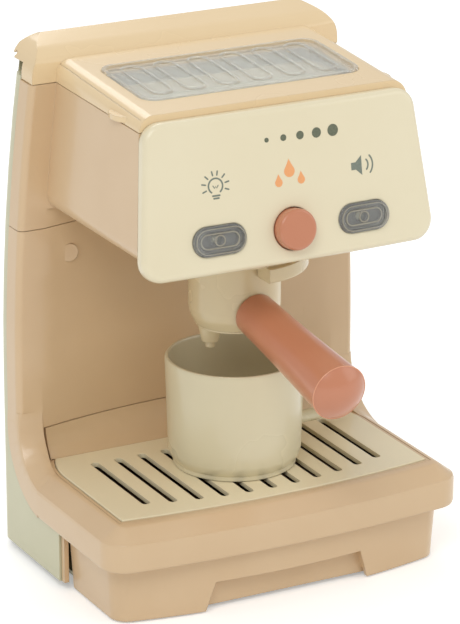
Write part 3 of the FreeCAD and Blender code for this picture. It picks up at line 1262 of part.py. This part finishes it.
add("battery_door", battery_door())
add("battery_door_screw", battery_door_screw())
add("housing_screws", housing_screws())
add("wire_harness", wire_harness())
add("rubber_feet", rubber_feet())

os.makedirs("parts", exist_ok=True)
for name, shape in NODES.items():
    shape.translate(V(0, FORWARD, 0))
    shape.exportStep("parts/" + name + ".step")
    print(name, len(shape.Solids), shape.isValid(), round(shape.Volume))
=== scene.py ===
import math

import bmesh
import bpy
from mathutils import Matrix, Vector
from mathutils.geometry import tessellate_polygon


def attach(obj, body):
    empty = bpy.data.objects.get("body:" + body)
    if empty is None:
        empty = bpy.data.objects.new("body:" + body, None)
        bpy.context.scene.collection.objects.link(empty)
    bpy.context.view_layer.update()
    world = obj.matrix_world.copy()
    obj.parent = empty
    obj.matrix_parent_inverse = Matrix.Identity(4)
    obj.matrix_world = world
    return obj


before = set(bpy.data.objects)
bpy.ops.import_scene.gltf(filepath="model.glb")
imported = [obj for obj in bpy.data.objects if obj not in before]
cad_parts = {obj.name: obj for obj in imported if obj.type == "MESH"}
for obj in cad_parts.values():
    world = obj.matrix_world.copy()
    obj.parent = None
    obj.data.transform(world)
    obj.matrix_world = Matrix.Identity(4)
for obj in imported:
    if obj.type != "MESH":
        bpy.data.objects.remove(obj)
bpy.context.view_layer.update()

# The shell: column frame, head, lid cap and drawer front, moulded in warm peach ABS.
# Polished tool steel leaves it glossy, with a slow waviness and softly broken edges.


def linear(code):
    """An sRGB hex colour as the linear RGBA that the shaders take."""
    parts = [int(code[i:i + 2], 16) / 255 for i in (1, 3, 5)]
    return (*[c / 12.92 if c <= 0.04045 else ((c + 0.055) / 1.055) ** 2.4 for c in parts], 1.0)


def put(tree, kind, settings=None, **sockets):
    """Adds one node; a socket is given by name with _ for space, or as s0, s1 by its place."""
    node = tree.nodes.new(kind)
    for key, value in (settings or {}).items():
        setattr(node, key, value)
    for key, value in sockets.items():
        place = int(key[1:]) if key[0] == "s" and key[1:].isdigit() else key.replace("_", " ")
        if isinstance(value, bpy.types.NodeSocket):
            tree.links.new(value, node.inputs[place])
        else:
            node.inputs[place].default_value = value
    return node


def bare_material(name):
    """A new material, its empty node tree, and the object coordinates that its patterns lie on."""
    mat = bpy.data.materials.new(name)
    mat.use_nodes = True
    tree = mat.node_tree
    tree.nodes.clear()
    at = put(tree, "ShaderNodeTexCoord").outputs["Object"]
    return mat, tree, at


SKIN_WAVE = 0.006
MOULD_GRAIN = 0.0007
GRAIN_DEPTH = 0.00002


def moulded(name, light, deep, rough, coat=0.25, edge=0.0006):
    """Injection-moulded plastic: cloudy colour in the melt, wave of the cooled skin, fine mould grain."""
    mat, tree, at = bare_material(name)
    cloud = put(tree, "ShaderNodeTexNoise", Vector=at, Scale=22.0, Detail=3.0, Roughness=0.55)
    tone = put(tree, "ShaderNodeMix", {"data_type": "RGBA"}, s0=cloud.outputs["Fac"],
               s6=linear(light), s7=linear(deep))
    sheen = put(tree, "ShaderNodeMapRange", Value=cloud.outputs["Fac"],
                To_Min=rough - 0.05, To_Max=rough + 0.06)
    slow = put(tree, "ShaderNodeTexNoise", Vector=at, Scale=1 / SKIN_WAVE, Detail=1.0)
    fine = put(tree, "ShaderNodeTexNoise", Vector=at, Scale=1 / MOULD_GRAIN, Detail=2.0)
    soft = put(tree, "ShaderNodeBevel", {"samples": 4}, Radius=edge)
    swell = put(tree, "ShaderNodeBump", Height=slow.outputs["Fac"], Distance=SKIN_WAVE * 0.008, Strength=0.2,
                Normal=soft.outputs["Normal"])
    skin = put(tree, "ShaderNodeBump", Height=fine.outputs["Fac"], Distance=GRAIN_DEPTH, Strength=0.5,
               Normal=swell.outputs["Normal"])
    shader = put(tree, "ShaderNodeBsdfPrincipled", Base_Color=tone.outputs[2],
                 Roughness=sheen.outputs["Result"], IOR=1.53, Coat_Weight=coat, Coat_Roughness=0.08,
                 Normal=skin.outputs["Normal"])
    put(tree, "ShaderNodeOutputMaterial", Surface=shader.outputs["BSDF"])
    return mat


WELD_REACH = 0.000004
SHARP_ANGLE = math.radians(32.0)


def dress(mat, *names):
    """Gives CAD nodes a finish, and shades their curved faces smooth between sharp edges."""
    for name in names:
        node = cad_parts[name]
        for place in node.material_slots:
            place.material = mat
        node.data.polygons.foreach_set("use_smooth", [True] * len(node.data.polygons))
        weld = node.modifiers.new("weld", "WELD")
        weld.merge_threshold = WELD_REACH
        split = node.modifiers.new("split", "EDGE_SPLIT")
        split.split_angle = SHARP_ANGLE
        flat = node.modifiers.new("flat_faces_lead", "WEIGHTED_NORMAL")
        flat.mode = "FACE_AREA"
        flat.weight = 100


peach = moulded("glossy_abs_peach", "#dcc09a", "#d3b48c", 0.30)
dress(peach, "upper_housing", "lower_housing", "water_drawer")
# The lid is given a lighter copy of the shell's peach: painted light on its upward-facing top.
lid_peach_painted_light = moulded("glossy_abs_lid_painted_light", "#ecd3a9", "#e6cb9f", 0.26)
dress(lid_peach_painted_light, "top_cover")

# The rear cover: a deep box closing the back and the sides of the base, in pale celery ABS.
# It is a separate moulding, screwed from behind, so it meets the frame at a shadow seam.
celery = moulded("satin_abs_celery", "#cfcbaa", "#c6c2a0", 0.34)
dress(celery, "rear_cover", "base_plate")

# The drip tray: a peach moulding set in the base, with a coved upstand that hides the foot of the wall.
# The cream grille over it has eleven slots; low in the tray the colour turns dark brown, a painted shade.
BASIN_SHADE_TOP = 0.0478
BASIN_SHADE_FULL = 0.0450
tray_peach_painted_shade = moulded("glossy_abs_tray_painted_shade", "#d9bd97", "#cfb188", 0.30)
tree = tray_peach_painted_shade.node_tree
shader = next(n for n in tree.nodes if n.type == "BSDF_PRINCIPLED")
at = next(n for n in tree.nodes if n.type == "TEX_COORD").outputs["Object"]
# Painted shade: below 47.8 mm the tray's colour fades to dark brown, fully dark by 45.0 mm, for the shadow
# under the grille.
height = put(tree, "ShaderNodeSeparateXYZ", Vector=at)
painted_shade_depth = put(tree, "ShaderNodeMapRange", Value=height.outputs["Z"], From_Min=BASIN_SHADE_FULL, From_Max=BASIN_SHADE_TOP,
            To_Min=1.0, To_Max=0.0)
painted_shade_mix = put(tree, "ShaderNodeMix", {"data_type": "RGBA"}, s0=painted_shade_depth.outputs["Result"],
            s6=shader.inputs["Base Color"].links[0].from_socket, s7=linear("#4a372c"))
tree.links.new(painted_shade_mix.outputs[2], shader.inputs["Base Color"])
dress(tray_peach_painted_shade, "drip_tray")
grille_cream = moulded("glossy_abs_grille", "#eee2c0", "#e7dab6", 0.30)
dress(grille_cream, "drip_grille")

# The front panel: a thick cream plate with round corners, bowed across and leaning back.
# Its face is moulded glossier than the shell, with marks pad-printed in thin ink.
panel_cream = moulded("glossy_abs_panel", "#ebe1c3", "#e5d9b8", 0.24, edge=0.0012)
dress(panel_cream, "front_panel")


PANEL_LEAN = math.radians(9.6)
PANEL_BOW_R = 850.0
PANEL_FACE_Y = -36.0
PANEL_FACE_Z = 203.5


def on_panel(x, z, out):
    """A point on the panel's bowed, leaning face, from millimetres across it, up it and out of it."""
    y = PANEL_BOW_R - math.sqrt(PANEL_BOW_R ** 2 - x * x) - out
    return Vector((x, y * math.cos(PANEL_LEAN) + z * math.sin(PANEL_LEAN) + PANEL_FACE_Y,
                   z * math.cos(PANEL_LEAN) - y * math.sin(PANEL_LEAN) + PANEL_FACE_Z)) / 1000


def ink(name, code):
    """Pad-printing ink: a matt film that is a little thin and mottled over the plastic."""
    mat, tree, at = bare_material(name)
    speck = put(tree, "ShaderNodeTexNoise", Vector=at, Scale=1800.0, Detail=2.0)
    faint = put(tree, "ShaderNodeMapRange", Value=speck.outputs["Fac"], To_Min=0.0, To_Max=0.22)
    tone = put(tree, "ShaderNodeMix", {"data_type": "RGBA"}, s0=faint.outputs["Result"],
               s6=linear(code), s7=linear("#e5d9b8"))
    shader = put(tree, "ShaderNodeBsdfPrincipled", Base_Color=tone.outputs[2], Roughness=0.42, IOR=1.5)
    put(tree, "ShaderNodeOutputMaterial", Surface=shader.outputs["BSDF"])
    return mat


def settle(bm, name, mat, body):
    """Turns drawn faces into a piece of one material that rides on a body."""
    bmesh.ops.recalc_face_normals(bm, faces=bm.faces[:])
    mesh = bpy.data.meshes.new(name)
    bm.to_mesh(mesh)
    bm.free()
    mesh.materials.append(mat)
    piece = bpy.data.objects.new(name, mesh)
    bpy.context.collection.objects.link(piece)
    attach(piece, body)


INK_OVER = 0.07
INK_UNDER = 0.02


def printed(name, shapes, mat):
    """Flat shapes, each a ring of (x, z) points in millimetres, laid on the panel as a film of ink."""
    bm = bmesh.new()
    for ring in shapes:
        ring = list(ring)
        area = sum(a[0] * b[1] - b[0] * a[1] for a, b in zip(ring, ring[1:] + ring[:1]))
        if area < 0:
            ring.reverse()
        over = [bm.verts.new(on_panel(x, z, INK_OVER)) for x, z in ring]
        under = [bm.verts.new(on_panel(x, z, INK_UNDER)) for x, z in ring]
        for tri in tessellate_polygon([[Vector((x, z, 0)) for x, z in ring]]):
            bm.faces.new([over[i] for i in tri])
            bm.faces.new([under[i] for i in reversed(tri)])
        for i in range(len(ring)):
            j = (i + 1) % len(ring)
            bm.faces.new((over[i], under[i], under[j], over[j]))
    settle(bm, name, mat, "housing")


def stroke(points, width):
    """The outline of a line of ink of one width with round ends."""
    left, right = [], []
    for i, (x, z) in enumerate(points):
        a = points[max(i - 1, 0)]
        b = points[min(i + 1, len(points) - 1)]
        dx, dz = b[0] - a[0], b[1] - a[1]
        long = math.hypot(dx, dz)
        nx, nz = -dz / long * width / 2, dx / long * width / 2
        left.append((x + nx, z + nz))
        right.append((x - nx, z - nz))
    caps = []
    for end, other, side in ((points[-1], points[-2], 1), (points[0], points[1], -1)):
        face = math.atan2(end[1] - other[1], end[0] - other[0])
        caps.append([(end[0] + width / 2 * math.cos(face + t), end[1] + width / 2 * math.sin(face + t))
                     for t in (math.pi / 4, 0, -math.pi / 4)])
    return left + caps[0] + list(reversed(right)) + caps[1]


def sweep(x, z, r, start, end, steps=14):
    """Points along an arc, with its angles in degrees."""
    turns = [math.radians(start + (end - start) * i / steps) for i in range(steps + 1)]
    return [(x + r * math.cos(t), z + r * math.sin(t)) for t in turns]


grey_ink = ink("pad_print_grey_green", "#5f6f68")
orange_ink = ink("pad_print_orange", "#f0a060")

# The mark over the left key: a lamp bulb with rays, outlined in grey-green ink.
# It is printed straight on the panel, a little above the clear key that it labels.
BULB_X, BULB_Z = -37.3, 4.6
bulb = [stroke(sweep(BULB_X, BULB_Z, 3.5, -52, 232, 28), 0.75)]
bulb.append(stroke([(BULB_X - 1.7, BULB_Z - 4.4), (BULB_X + 1.7, BULB_Z - 4.4)], 0.8))
bulb.append(stroke([(BULB_X - 1.2, BULB_Z - 5.6), (BULB_X + 1.2, BULB_Z - 5.6)], 0.8))
bulb.append(stroke([(BULB_X - 1.3, BULB_Z + 0.2), (BULB_X - 0.5, BULB_Z - 1.0), (BULB_X, BULB_Z - 0.1),
                    (BULB_X + 0.5, BULB_Z - 1.0), (BULB_X + 1.3, BULB_Z + 0.2)], 0.45))
for turn in (-20, 12, 45, 78, 102, 135, 168, 200):
    c, s = math.cos(math.radians(turn)), math.sin(math.radians(turn))
    bulb.append(stroke([(BULB_X + 5.0 * c, BULB_Z + 5.0 * s), (BULB_X + 6.8 * c, BULB_Z + 6.8 * s)], 0.7))
printed("mark_lamp", bulb, grey_ink)

# The mark over the round button: three drops of orange ink, one large and two small.
# They stand for the stream of water that the button starts.


def drop(x, z, r):
    """A drop's outline: a round belly that draws up to a point."""
    belly = sweep(x, z, r, -215, 35, 22)
    return belly + [(x + r * 0.42, z + r * 1.25), (x, z + r * 2.1), (x - r * 0.42, z + r * 1.25)]


printed("mark_drops", [drop(0.2, 6.2, 2.7), drop(-5.6, 1.6, 1.9), drop(6.0, 1.6, 1.9)], orange_ink)

# The mark over the right key: a loudspeaker with two waves, in the same grey-green ink.
SOUND_X, SOUND_Z = 38.6, 3.6
voice = [[(SOUND_X - 6.0, SOUND_Z - 1.7), (SOUND_X - 3.6, SOUND_Z - 1.7), (SOUND_X - 0.4, SOUND_Z - 4.6),
          (SOUND_X - 0.4, SOUND_Z + 4.6), (SOUND_X - 3.6, SOUND_Z + 1.7), (SOUND_X - 6.0, SOUND_Z + 1.7)]]
voice.append(stroke(sweep(SOUND_X - 0.4, SOUND_Z, 3.4, -42, 42), 0.8))
voice.append(stroke(sweep(SOUND_X - 0.4, SOUND_Z, 5.9, -42, 42), 0.8))
printed("mark_sound", voice, grey_ink)

# Across the top of the panel: a plain row of five dots that grow, a scale of strength.
# A node tree sets the row out, and the dots are printed in a darker green than the marks.
rows = bpy.data.node_groups.new("printed_dot_row", "GeometryNodeTree")
rows.interface.new_socket("Geometry", in_out="OUTPUT", socket_type="NodeSocketGeometry")
count_in = rows.interface.new_socket("Count", in_out="INPUT", socket_type="NodeSocketInt")
pitch_in = rows.interface.new_socket("Pitch", in_out="INPUT", socket_type="NodeSocketFloat")
small_in = rows.interface.new_socket("Smallest radius", in_out="INPUT", socket_type="NodeSocketFloat")
grow_in = rows.interface.new_socket("Growth", in_out="INPUT", socket_type="NodeSocketFloat")
mark_in = rows.interface.new_socket("Ink", in_out="INPUT", socket_type="NodeSocketMaterial")
given = put(rows, "NodeGroupInput").outputs
run = put(rows, "GeometryNodeMeshLine", Count=given["Count"], Offset=(0, 0, 0))
nth = put(rows, "GeometryNodeInputIndex").outputs[0]
along = put(rows, "ShaderNodeMath", {"operation": "MULTIPLY"}, s0=nth, s1=given["Pitch"])
place = put(rows, "ShaderNodeCombineXYZ", X=along.outputs[0])
spread = put(rows, "GeometryNodeSetPosition", Geometry=run.outputs[0], Position=place.outputs[0])
extra = put(rows, "ShaderNodeMath", {"operation": "MULTIPLY"}, s0=nth, s1=given["Growth"])
size = put(rows, "ShaderNodeMath", {"operation": "ADD"}, s0=extra.outputs[0], s1=given["Smallest radius"])
disc = put(rows, "GeometryNodeMeshCylinder", Vertices=32, Radius=1.0, Depth=0.05)
laid = put(rows, "GeometryNodeInstanceOnPoints", Points=spread.outputs[0], Instance=disc.outputs[0])
scale = put(rows, "ShaderNodeCombineXYZ", X=size.outputs[0], Y=size.outputs[0], Z=1.0)
grown = put(rows, "GeometryNodeScaleInstances", Instances=laid.outputs[0], Scale=scale.outputs[0])
solid = put(rows, "GeometryNodeRealizeInstances", Geometry=grown.outputs[0])
inked = put(rows, "GeometryNodeSetMaterial", Geometry=solid.outputs[0], Material=given["Ink"])
put(rows, "NodeGroupOutput", Geometry=inked.outputs[0])


def grown_piece(name, tree, values, to_place, body):
    """Runs a tree on an empty mesh, keeps its result as a plain mesh, and moves its points to their place."""
    start = bpy.data.objects.new(name, bpy.data.meshes.new(name))
    bpy.context.collection.objects.link(start)
    modifier = start.modifiers.new("grow", "NODES")
    modifier.node_group = tree
    for socket, value in values:
        modifier[socket.identifier] = value
    made = bpy.data.meshes.new_from_object(start.evaluated_get(bpy.context.evaluated_depsgraph_get()))
    start.modifiers.remove(modifier)
    start.data = made
    for point in made.vertices:
        point.co = to_place(point.co)
    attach(start, body)


strength_ink = ink("pad_print_dark_green", "#3f4f3c")
grown_piece("mark_strength", rows,
            [(count_in, 5), (pitch_in, 8.6), (small_in, 1.1), (grow_in, 0.42), (mark_in, strength_ink)],
            lambda p: on_panel(p.x - 10.2, p.y + 21.8, 0.045 + p.z), "housing")

# The clear keys: capsule lenses moulded in clear polystyrene, pressed like push buttons.
# Each shows its dark cup and a small round lamp lens through the plastic.


def clear(name, tint, alpha, rough=0.04):
    """Clear moulded plastic, with a slow wave that breaks up what is seen through it, and a painted
    highlight: it turns opaque near-white towards grazing angles.
    """
    mat, tree, at = bare_material(name)
    slow = put(tree, "ShaderNodeTexNoise", Vector=at, Scale=120.0, Detail=1.0)
    soft = put(tree, "ShaderNodeBevel", {"samples": 4}, Radius=0.0007)
    swell = put(tree, "ShaderNodeBump", Height=slow.outputs["Fac"], Distance=0.0002, Strength=0.3,
                Normal=soft.outputs["Normal"])
    # Painted highlight: alpha rises to 0.85 as the surface turns edge-on, so rims and ribs show the
    # near-white base as milky lines.
    facing = put(tree, "ShaderNodeLayerWeight", Blend=0.35, Normal=swell.outputs["Normal"])
    body = put(tree, "ShaderNodeMapRange", Value=facing.outputs["Facing"], To_Min=alpha, To_Max=0.85)
    shader = put(tree, "ShaderNodeBsdfPrincipled", Base_Color=linear(tint), Roughness=rough, IOR=1.49,
                 Transmission_Weight=0.55, Alpha=body.outputs["Result"], Normal=swell.outputs["Normal"])
    put(tree, "ShaderNodeOutputMaterial", Surface=shader.outputs["BSDF"])
    return mat


key_clear = clear("clear_polystyrene_key", "#f4f6f2", 0.22)
dress(key_clear, "lighting_button", "sound_button")
dark_cup = moulded("dark_grey_abs", "#4a4640", "#3c3833", 0.35)
dress(dark_cup, "lighting_reflector", "sound_reflector")
dress(moulded("lamp_epoxy", "#d8d2b4", "#c9c3a2", 0.15), "lamps")

# Fine grey beads at each clear key's rim, its cup and its lamp lens: their grey is painted shade for the
# clear plastic's edges.
# They catch the light that the real plastic's edges catch.
BEAD_SIDES = 10


def bead(name, line, radius, out_way, mat, body):
    """A closed round bead along a ring of points, standing on the surface that they lie in."""
    bm = bmesh.new()
    rings = []
    for i, point in enumerate(line):
        along = (line[(i + 1) % len(line)] - line[i - 1]).normalized()
        aside = along.cross(out_way).normalized()
        rings.append([bm.verts.new(point + radius * (math.cos(t) * aside + math.sin(t) * out_way))
                      for t in [math.tau * k / BEAD_SIDES for k in range(BEAD_SIDES)]])
    for i, ring in enumerate(rings):
        after = rings[(i + 1) % len(rings)]
        for k in range(BEAD_SIDES):
            j = (k + 1) % BEAD_SIDES
            bm.faces.new((ring[k], ring[j], after[j], after[k])).smooth = True
    settle(bm, name, mat, body)


def capsule_line(x, z, width, high, out):
    """Points round a capsule on the panel."""
    r = high / 2
    half = width / 2 - r
    ends = sweep(x + half, z, r, -90, 90, 14) + sweep(x - half, z, r, 90, 270, 14)
    return [on_panel(u, v, out) for u, v in ends]


lean_out = Vector((0, -math.cos(PANEL_LEAN), math.sin(PANEL_LEAN)))
# Painted shade: grey beads where the real key has only clear edges.
key_edge_painted_shade = moulded("key_edge_painted_grey", "#a39d8c", "#8e897a", 0.2, coat=0.5)
KEY_X = 37.3
KEY_Z = -20.2
for side, body in ((-1, "light_key"), (1, "sound_key")):
    for kind, width, high, out, radius in (("_inner_bead", 19.0, 6.6, 0.6, 0.00042),
                                           ("_outer_bead", 24.2, 11.4, 1.6, 0.0003),
                                           ("_lens_bead", 4.81, 4.8, 0.6, 0.0004)):
        ring = capsule_line(side * KEY_X, KEY_Z, width, high, out)
        bead(body + kind, ring, radius, lean_out, key_edge_painted_shade, body)

# The round button: a terracotta ABS cap with a broken edge, which starts the pump.
terracotta = moulded("satin_abs_terracotta", "#cb8766", "#c07a59", 0.30)
dress(terracotta, "flow_button")

# The portafilter: a turned-looking terracotta grip on a cream body with two spouts.
# The grip ends in a domed cap; a fine pale bead along its seam is a painted highlight on the cap's edge.
dress(terracotta, "portafilter_handle", "handle_end_cap")
GRIP_DROOP = math.radians(9.0)
SEAM_ALONG = 0.0801
SEAM_R = 0.01325
grip_way = Vector((0, -math.cos(GRIP_DROOP), -math.sin(GRIP_DROOP)))
grip_root = Vector((0, -0.0035, 0.131))
seam_at = grip_root + grip_way * SEAM_ALONG
seam_side = Vector((1, 0, 0))
seam_up = grip_way.cross(seam_side)
seam = [seam_at + SEAM_R * (math.cos(t) * seam_side + math.sin(t) * seam_up)
        for t in [math.tau * k / 64 for k in range(64)]]
# Painted highlight: the seam bead is a lighter terracotta than the grip, for the light caught along the cap's
# rim.
seam_painted_highlight = moulded("grip_seam_painted_highlight", "#e6a583", "#dd9a77", 0.25)
bead("grip_seam", seam, 0.00032, grip_way, seam_painted_highlight, "portafilter")
group_cream = moulded("glossy_abs_group", "#e3d2aa", "#dac79c", 0.27)
dress(group_cream, "group_head", "portafilter_body", "spout_pair")
dress(moulded("filter_grey", "#8d8c86", "#7d7c76", 0.35), "filter_basket")

# The cup: a thick-walled cream cup with a rolled lip and a D handle, for small hands.
cup_cream = moulded("glossy_pp_cup", "#ddd3b3", "#d5caa8", 0.28)
dress(cup_cream, "coffee_cup")

# The window in the lid: clear polystyrene with six capsules pressed up in its face.
# Under it a grey-green strainer plate covers the water tank.
window_clear = clear("clear_polystyrene_window", "#f6f7f2", 0.14)
dress(window_clear, "top_window")
dress(moulded("satin_abs_strainer", "#dcdbc0", "#cfceb2", 0.36), "strainer_plate")
dress(moulded("tank_polypropylene", "#ddc8a4", "#d0b992", 0.4), "water_tank")

# What is inside the shell: pump, motor, hoses, speaker, board, cells and fixings.
# They are seen only with the lid or the hatch open, or through slots.
inner = moulded("natural_abs_inner", "#d8c4a0", "#ccb78f", 0.4)
dress(inner, "pump_housing", "pump_cover", "battery_box", "speaker_frame", "battery_door")
dress(dark_cup, "pump_impeller", "tact_switches")
dress(moulded("board_solder_mask", "#2f6a45", "#28593a", 0.3), "control_board")
dress(moulded("paper_cone", "#3b3833", "#2f2c28", 0.8), "speaker_cone")
dress(moulded("cell_wrap", "#3f6d8c", "#365f7b", 0.25), "batteries")
dress(moulded("red_vinyl", "#a8382c", "#962f25", 0.35), "wire_harness")
dress(moulded("foot_rubber", "#6c675f", "#5b564f", 0.75), "rubber_feet")
dress(clear("silicone_hose", "#e8e6da", 0.8, 0.3), "inlet_hose", "outlet_hose")


def metal(name, code, rough):
    """Plated or drawn steel, with fine drawing marks in its roughness."""
    mat, tree, at = bare_material(name)
    drawn = put(tree, "ShaderNodeMapping", Vector=at, Scale=(1.0, 1.0, 12.0))
    marks = put(tree, "ShaderNodeTexNoise", Vector=drawn.outputs["Vector"], Scale=600.0, Detail=3.0)
    sheen = put(tree, "ShaderNodeMapRange", Value=marks.outputs["Fac"],
                To_Min=rough - 0.08, To_Max=rough + 0.12)
    tone = put(tree, "ShaderNodeMix", {"data_type": "RGBA"}, s0=marks.outputs["Fac"],
               s6=linear(code), s7=linear("#8c8c88"))
    shader = put(tree, "ShaderNodeBsdfPrincipled", Base_Color=tone.outputs[2], Metallic=1.0,
                 Roughness=sheen.outputs["Result"])
    put(tree, "ShaderNodeOutputMaterial", Surface=shader.outputs["BSDF"])
    return mat


screw_zinc = metal("zinc_plated_steel", "#c8c8c4", 0.32)
dress(screw_zinc, "handle_screw", "panel_screws", "battery_door_screw", "housing_screws")
dress(screw_zinc, "lighting_spring", "sound_spring", "flow_spring", "battery_contacts")
dress(metal("drawn_steel_can", "#bcbcb8", 0.38), "pump_motor", "motor_shaft", "lid_hinge_pins")

# The room: a pale floor that keeps the shadow, three soft lamps, and the camera.
# The floor glows a little for camera, glossy and transmission rays, and the air is white for the
# first and the last of them and dimmer for the rest.
floor_mesh = bpy.data.meshes.new("studio_floor")
floor_mesh.from_pydata([(-6, -6, 0), (6, -6, 0), (6, 6, 0), (-6, 6, 0)], [], [(0, 1, 2, 3)])
floor = bpy.data.objects.new("studio_floor", floor_mesh)
bpy.context.collection.objects.link(floor)
pale = bpy.data.materials.new("studio_paper")
pale.use_nodes = True
paper = pale.node_tree
paper.nodes.clear()
matt = put(paper, "ShaderNodeBsdfDiffuse", Color=linear("#f6f6f4"))
glow = put(paper, "ShaderNodeEmission", Color=(1, 1, 1, 1), Strength=0.32)
rays = put(paper, "ShaderNodeLightPath").outputs
seen = put(paper, "ShaderNodeMath", {"operation": "MAXIMUM"},
           s0=rays["Is Camera Ray"], s1=rays["Is Glossy Ray"])
seen = put(paper, "ShaderNodeMath", {"operation": "MAXIMUM"},
           s0=seen.outputs[0], s1=rays["Is Transmission Ray"])
black = put(paper, "ShaderNodeEmission", Color=(0, 0, 0, 1), Strength=0.0)
lift = put(paper, "ShaderNodeMixShader", s0=seen.outputs[0], s1=black.outputs[0], s2=glow.outputs[0])
both = put(paper, "ShaderNodeAddShader", s0=matt.outputs[0], s1=lift.outputs[0])
put(paper, "ShaderNodeOutputMaterial", Surface=both.outputs[0])
floor_mesh.materials.append(pale)

world = bpy.data.worlds.new("studio_air")
bpy.context.scene.world = world
world.use_nodes = True
air = world.node_tree
air.nodes.clear()
rays = put(air, "ShaderNodeLightPath").outputs
seen = put(air, "ShaderNodeMath", {"operation": "MAXIMUM"},
           s0=rays["Is Camera Ray"], s1=rays["Is Transmission Ray"])
level = put(air, "ShaderNodeMapRange", Value=seen.outputs[0], To_Min=0.62, To_Max=1.0)
sky = put(air, "ShaderNodeBackground", Color=(1, 1, 1, 1), Strength=level.outputs["Result"])
put(air, "ShaderNodeOutputWorld", Surface=sky.outputs[0])

AIM = Vector((0, 0, 0.12))
for name, spot, wide, power in (("lamp_key", (-0.9, -1.0, 1.5), 0.9, 11.0),
                                ("lamp_fill", (1.3, -0.9, 0.8), 1.2, 5.0),
                                ("lamp_back", (0.2, 1.2, 1.4), 0.9, 6.0)):
    light = bpy.data.lights.new(name, "AREA")
    light.size = wide
    light.energy = power
    lamp = bpy.data.objects.new(name, light)
    lamp.location = spot
    lamp.rotation_mode = "QUATERNION"
    lamp.rotation_quaternion = (Vector(spot) - AIM).to_track_quat("Z", "Y")
    bpy.context.collection.objects.link(lamp)

camera = bpy.data.cameras.new("photo_camera")
camera.lens = 202.2
camera.sensor_width = 36.0
camera.clip_start = 0.05
camera.clip_end = 40.0
eye = bpy.data.objects.new("photo_camera", camera)
turn, rise = math.radians(-27.94), math.radians(19.56)
back = Vector((math.sin(turn) * math.cos(rise), -math.cos(turn) * math.cos(rise), math.sin(rise)))
right = Vector((math.cos(turn), math.sin(turn), 0))
up = back.cross(right)
EYE_AT = (-0.7342, -1.3623, 0.6808)
facing = Matrix((right, up, back)).transposed().to_4x4()
eye.matrix_world = Matrix.Translation(EYE_AT) @ facing
bpy.context.collection.objects.link(eye)
bpy.context.scene.camera = eye
bpy.context.scene.view_settings.view_transform = "Standard"
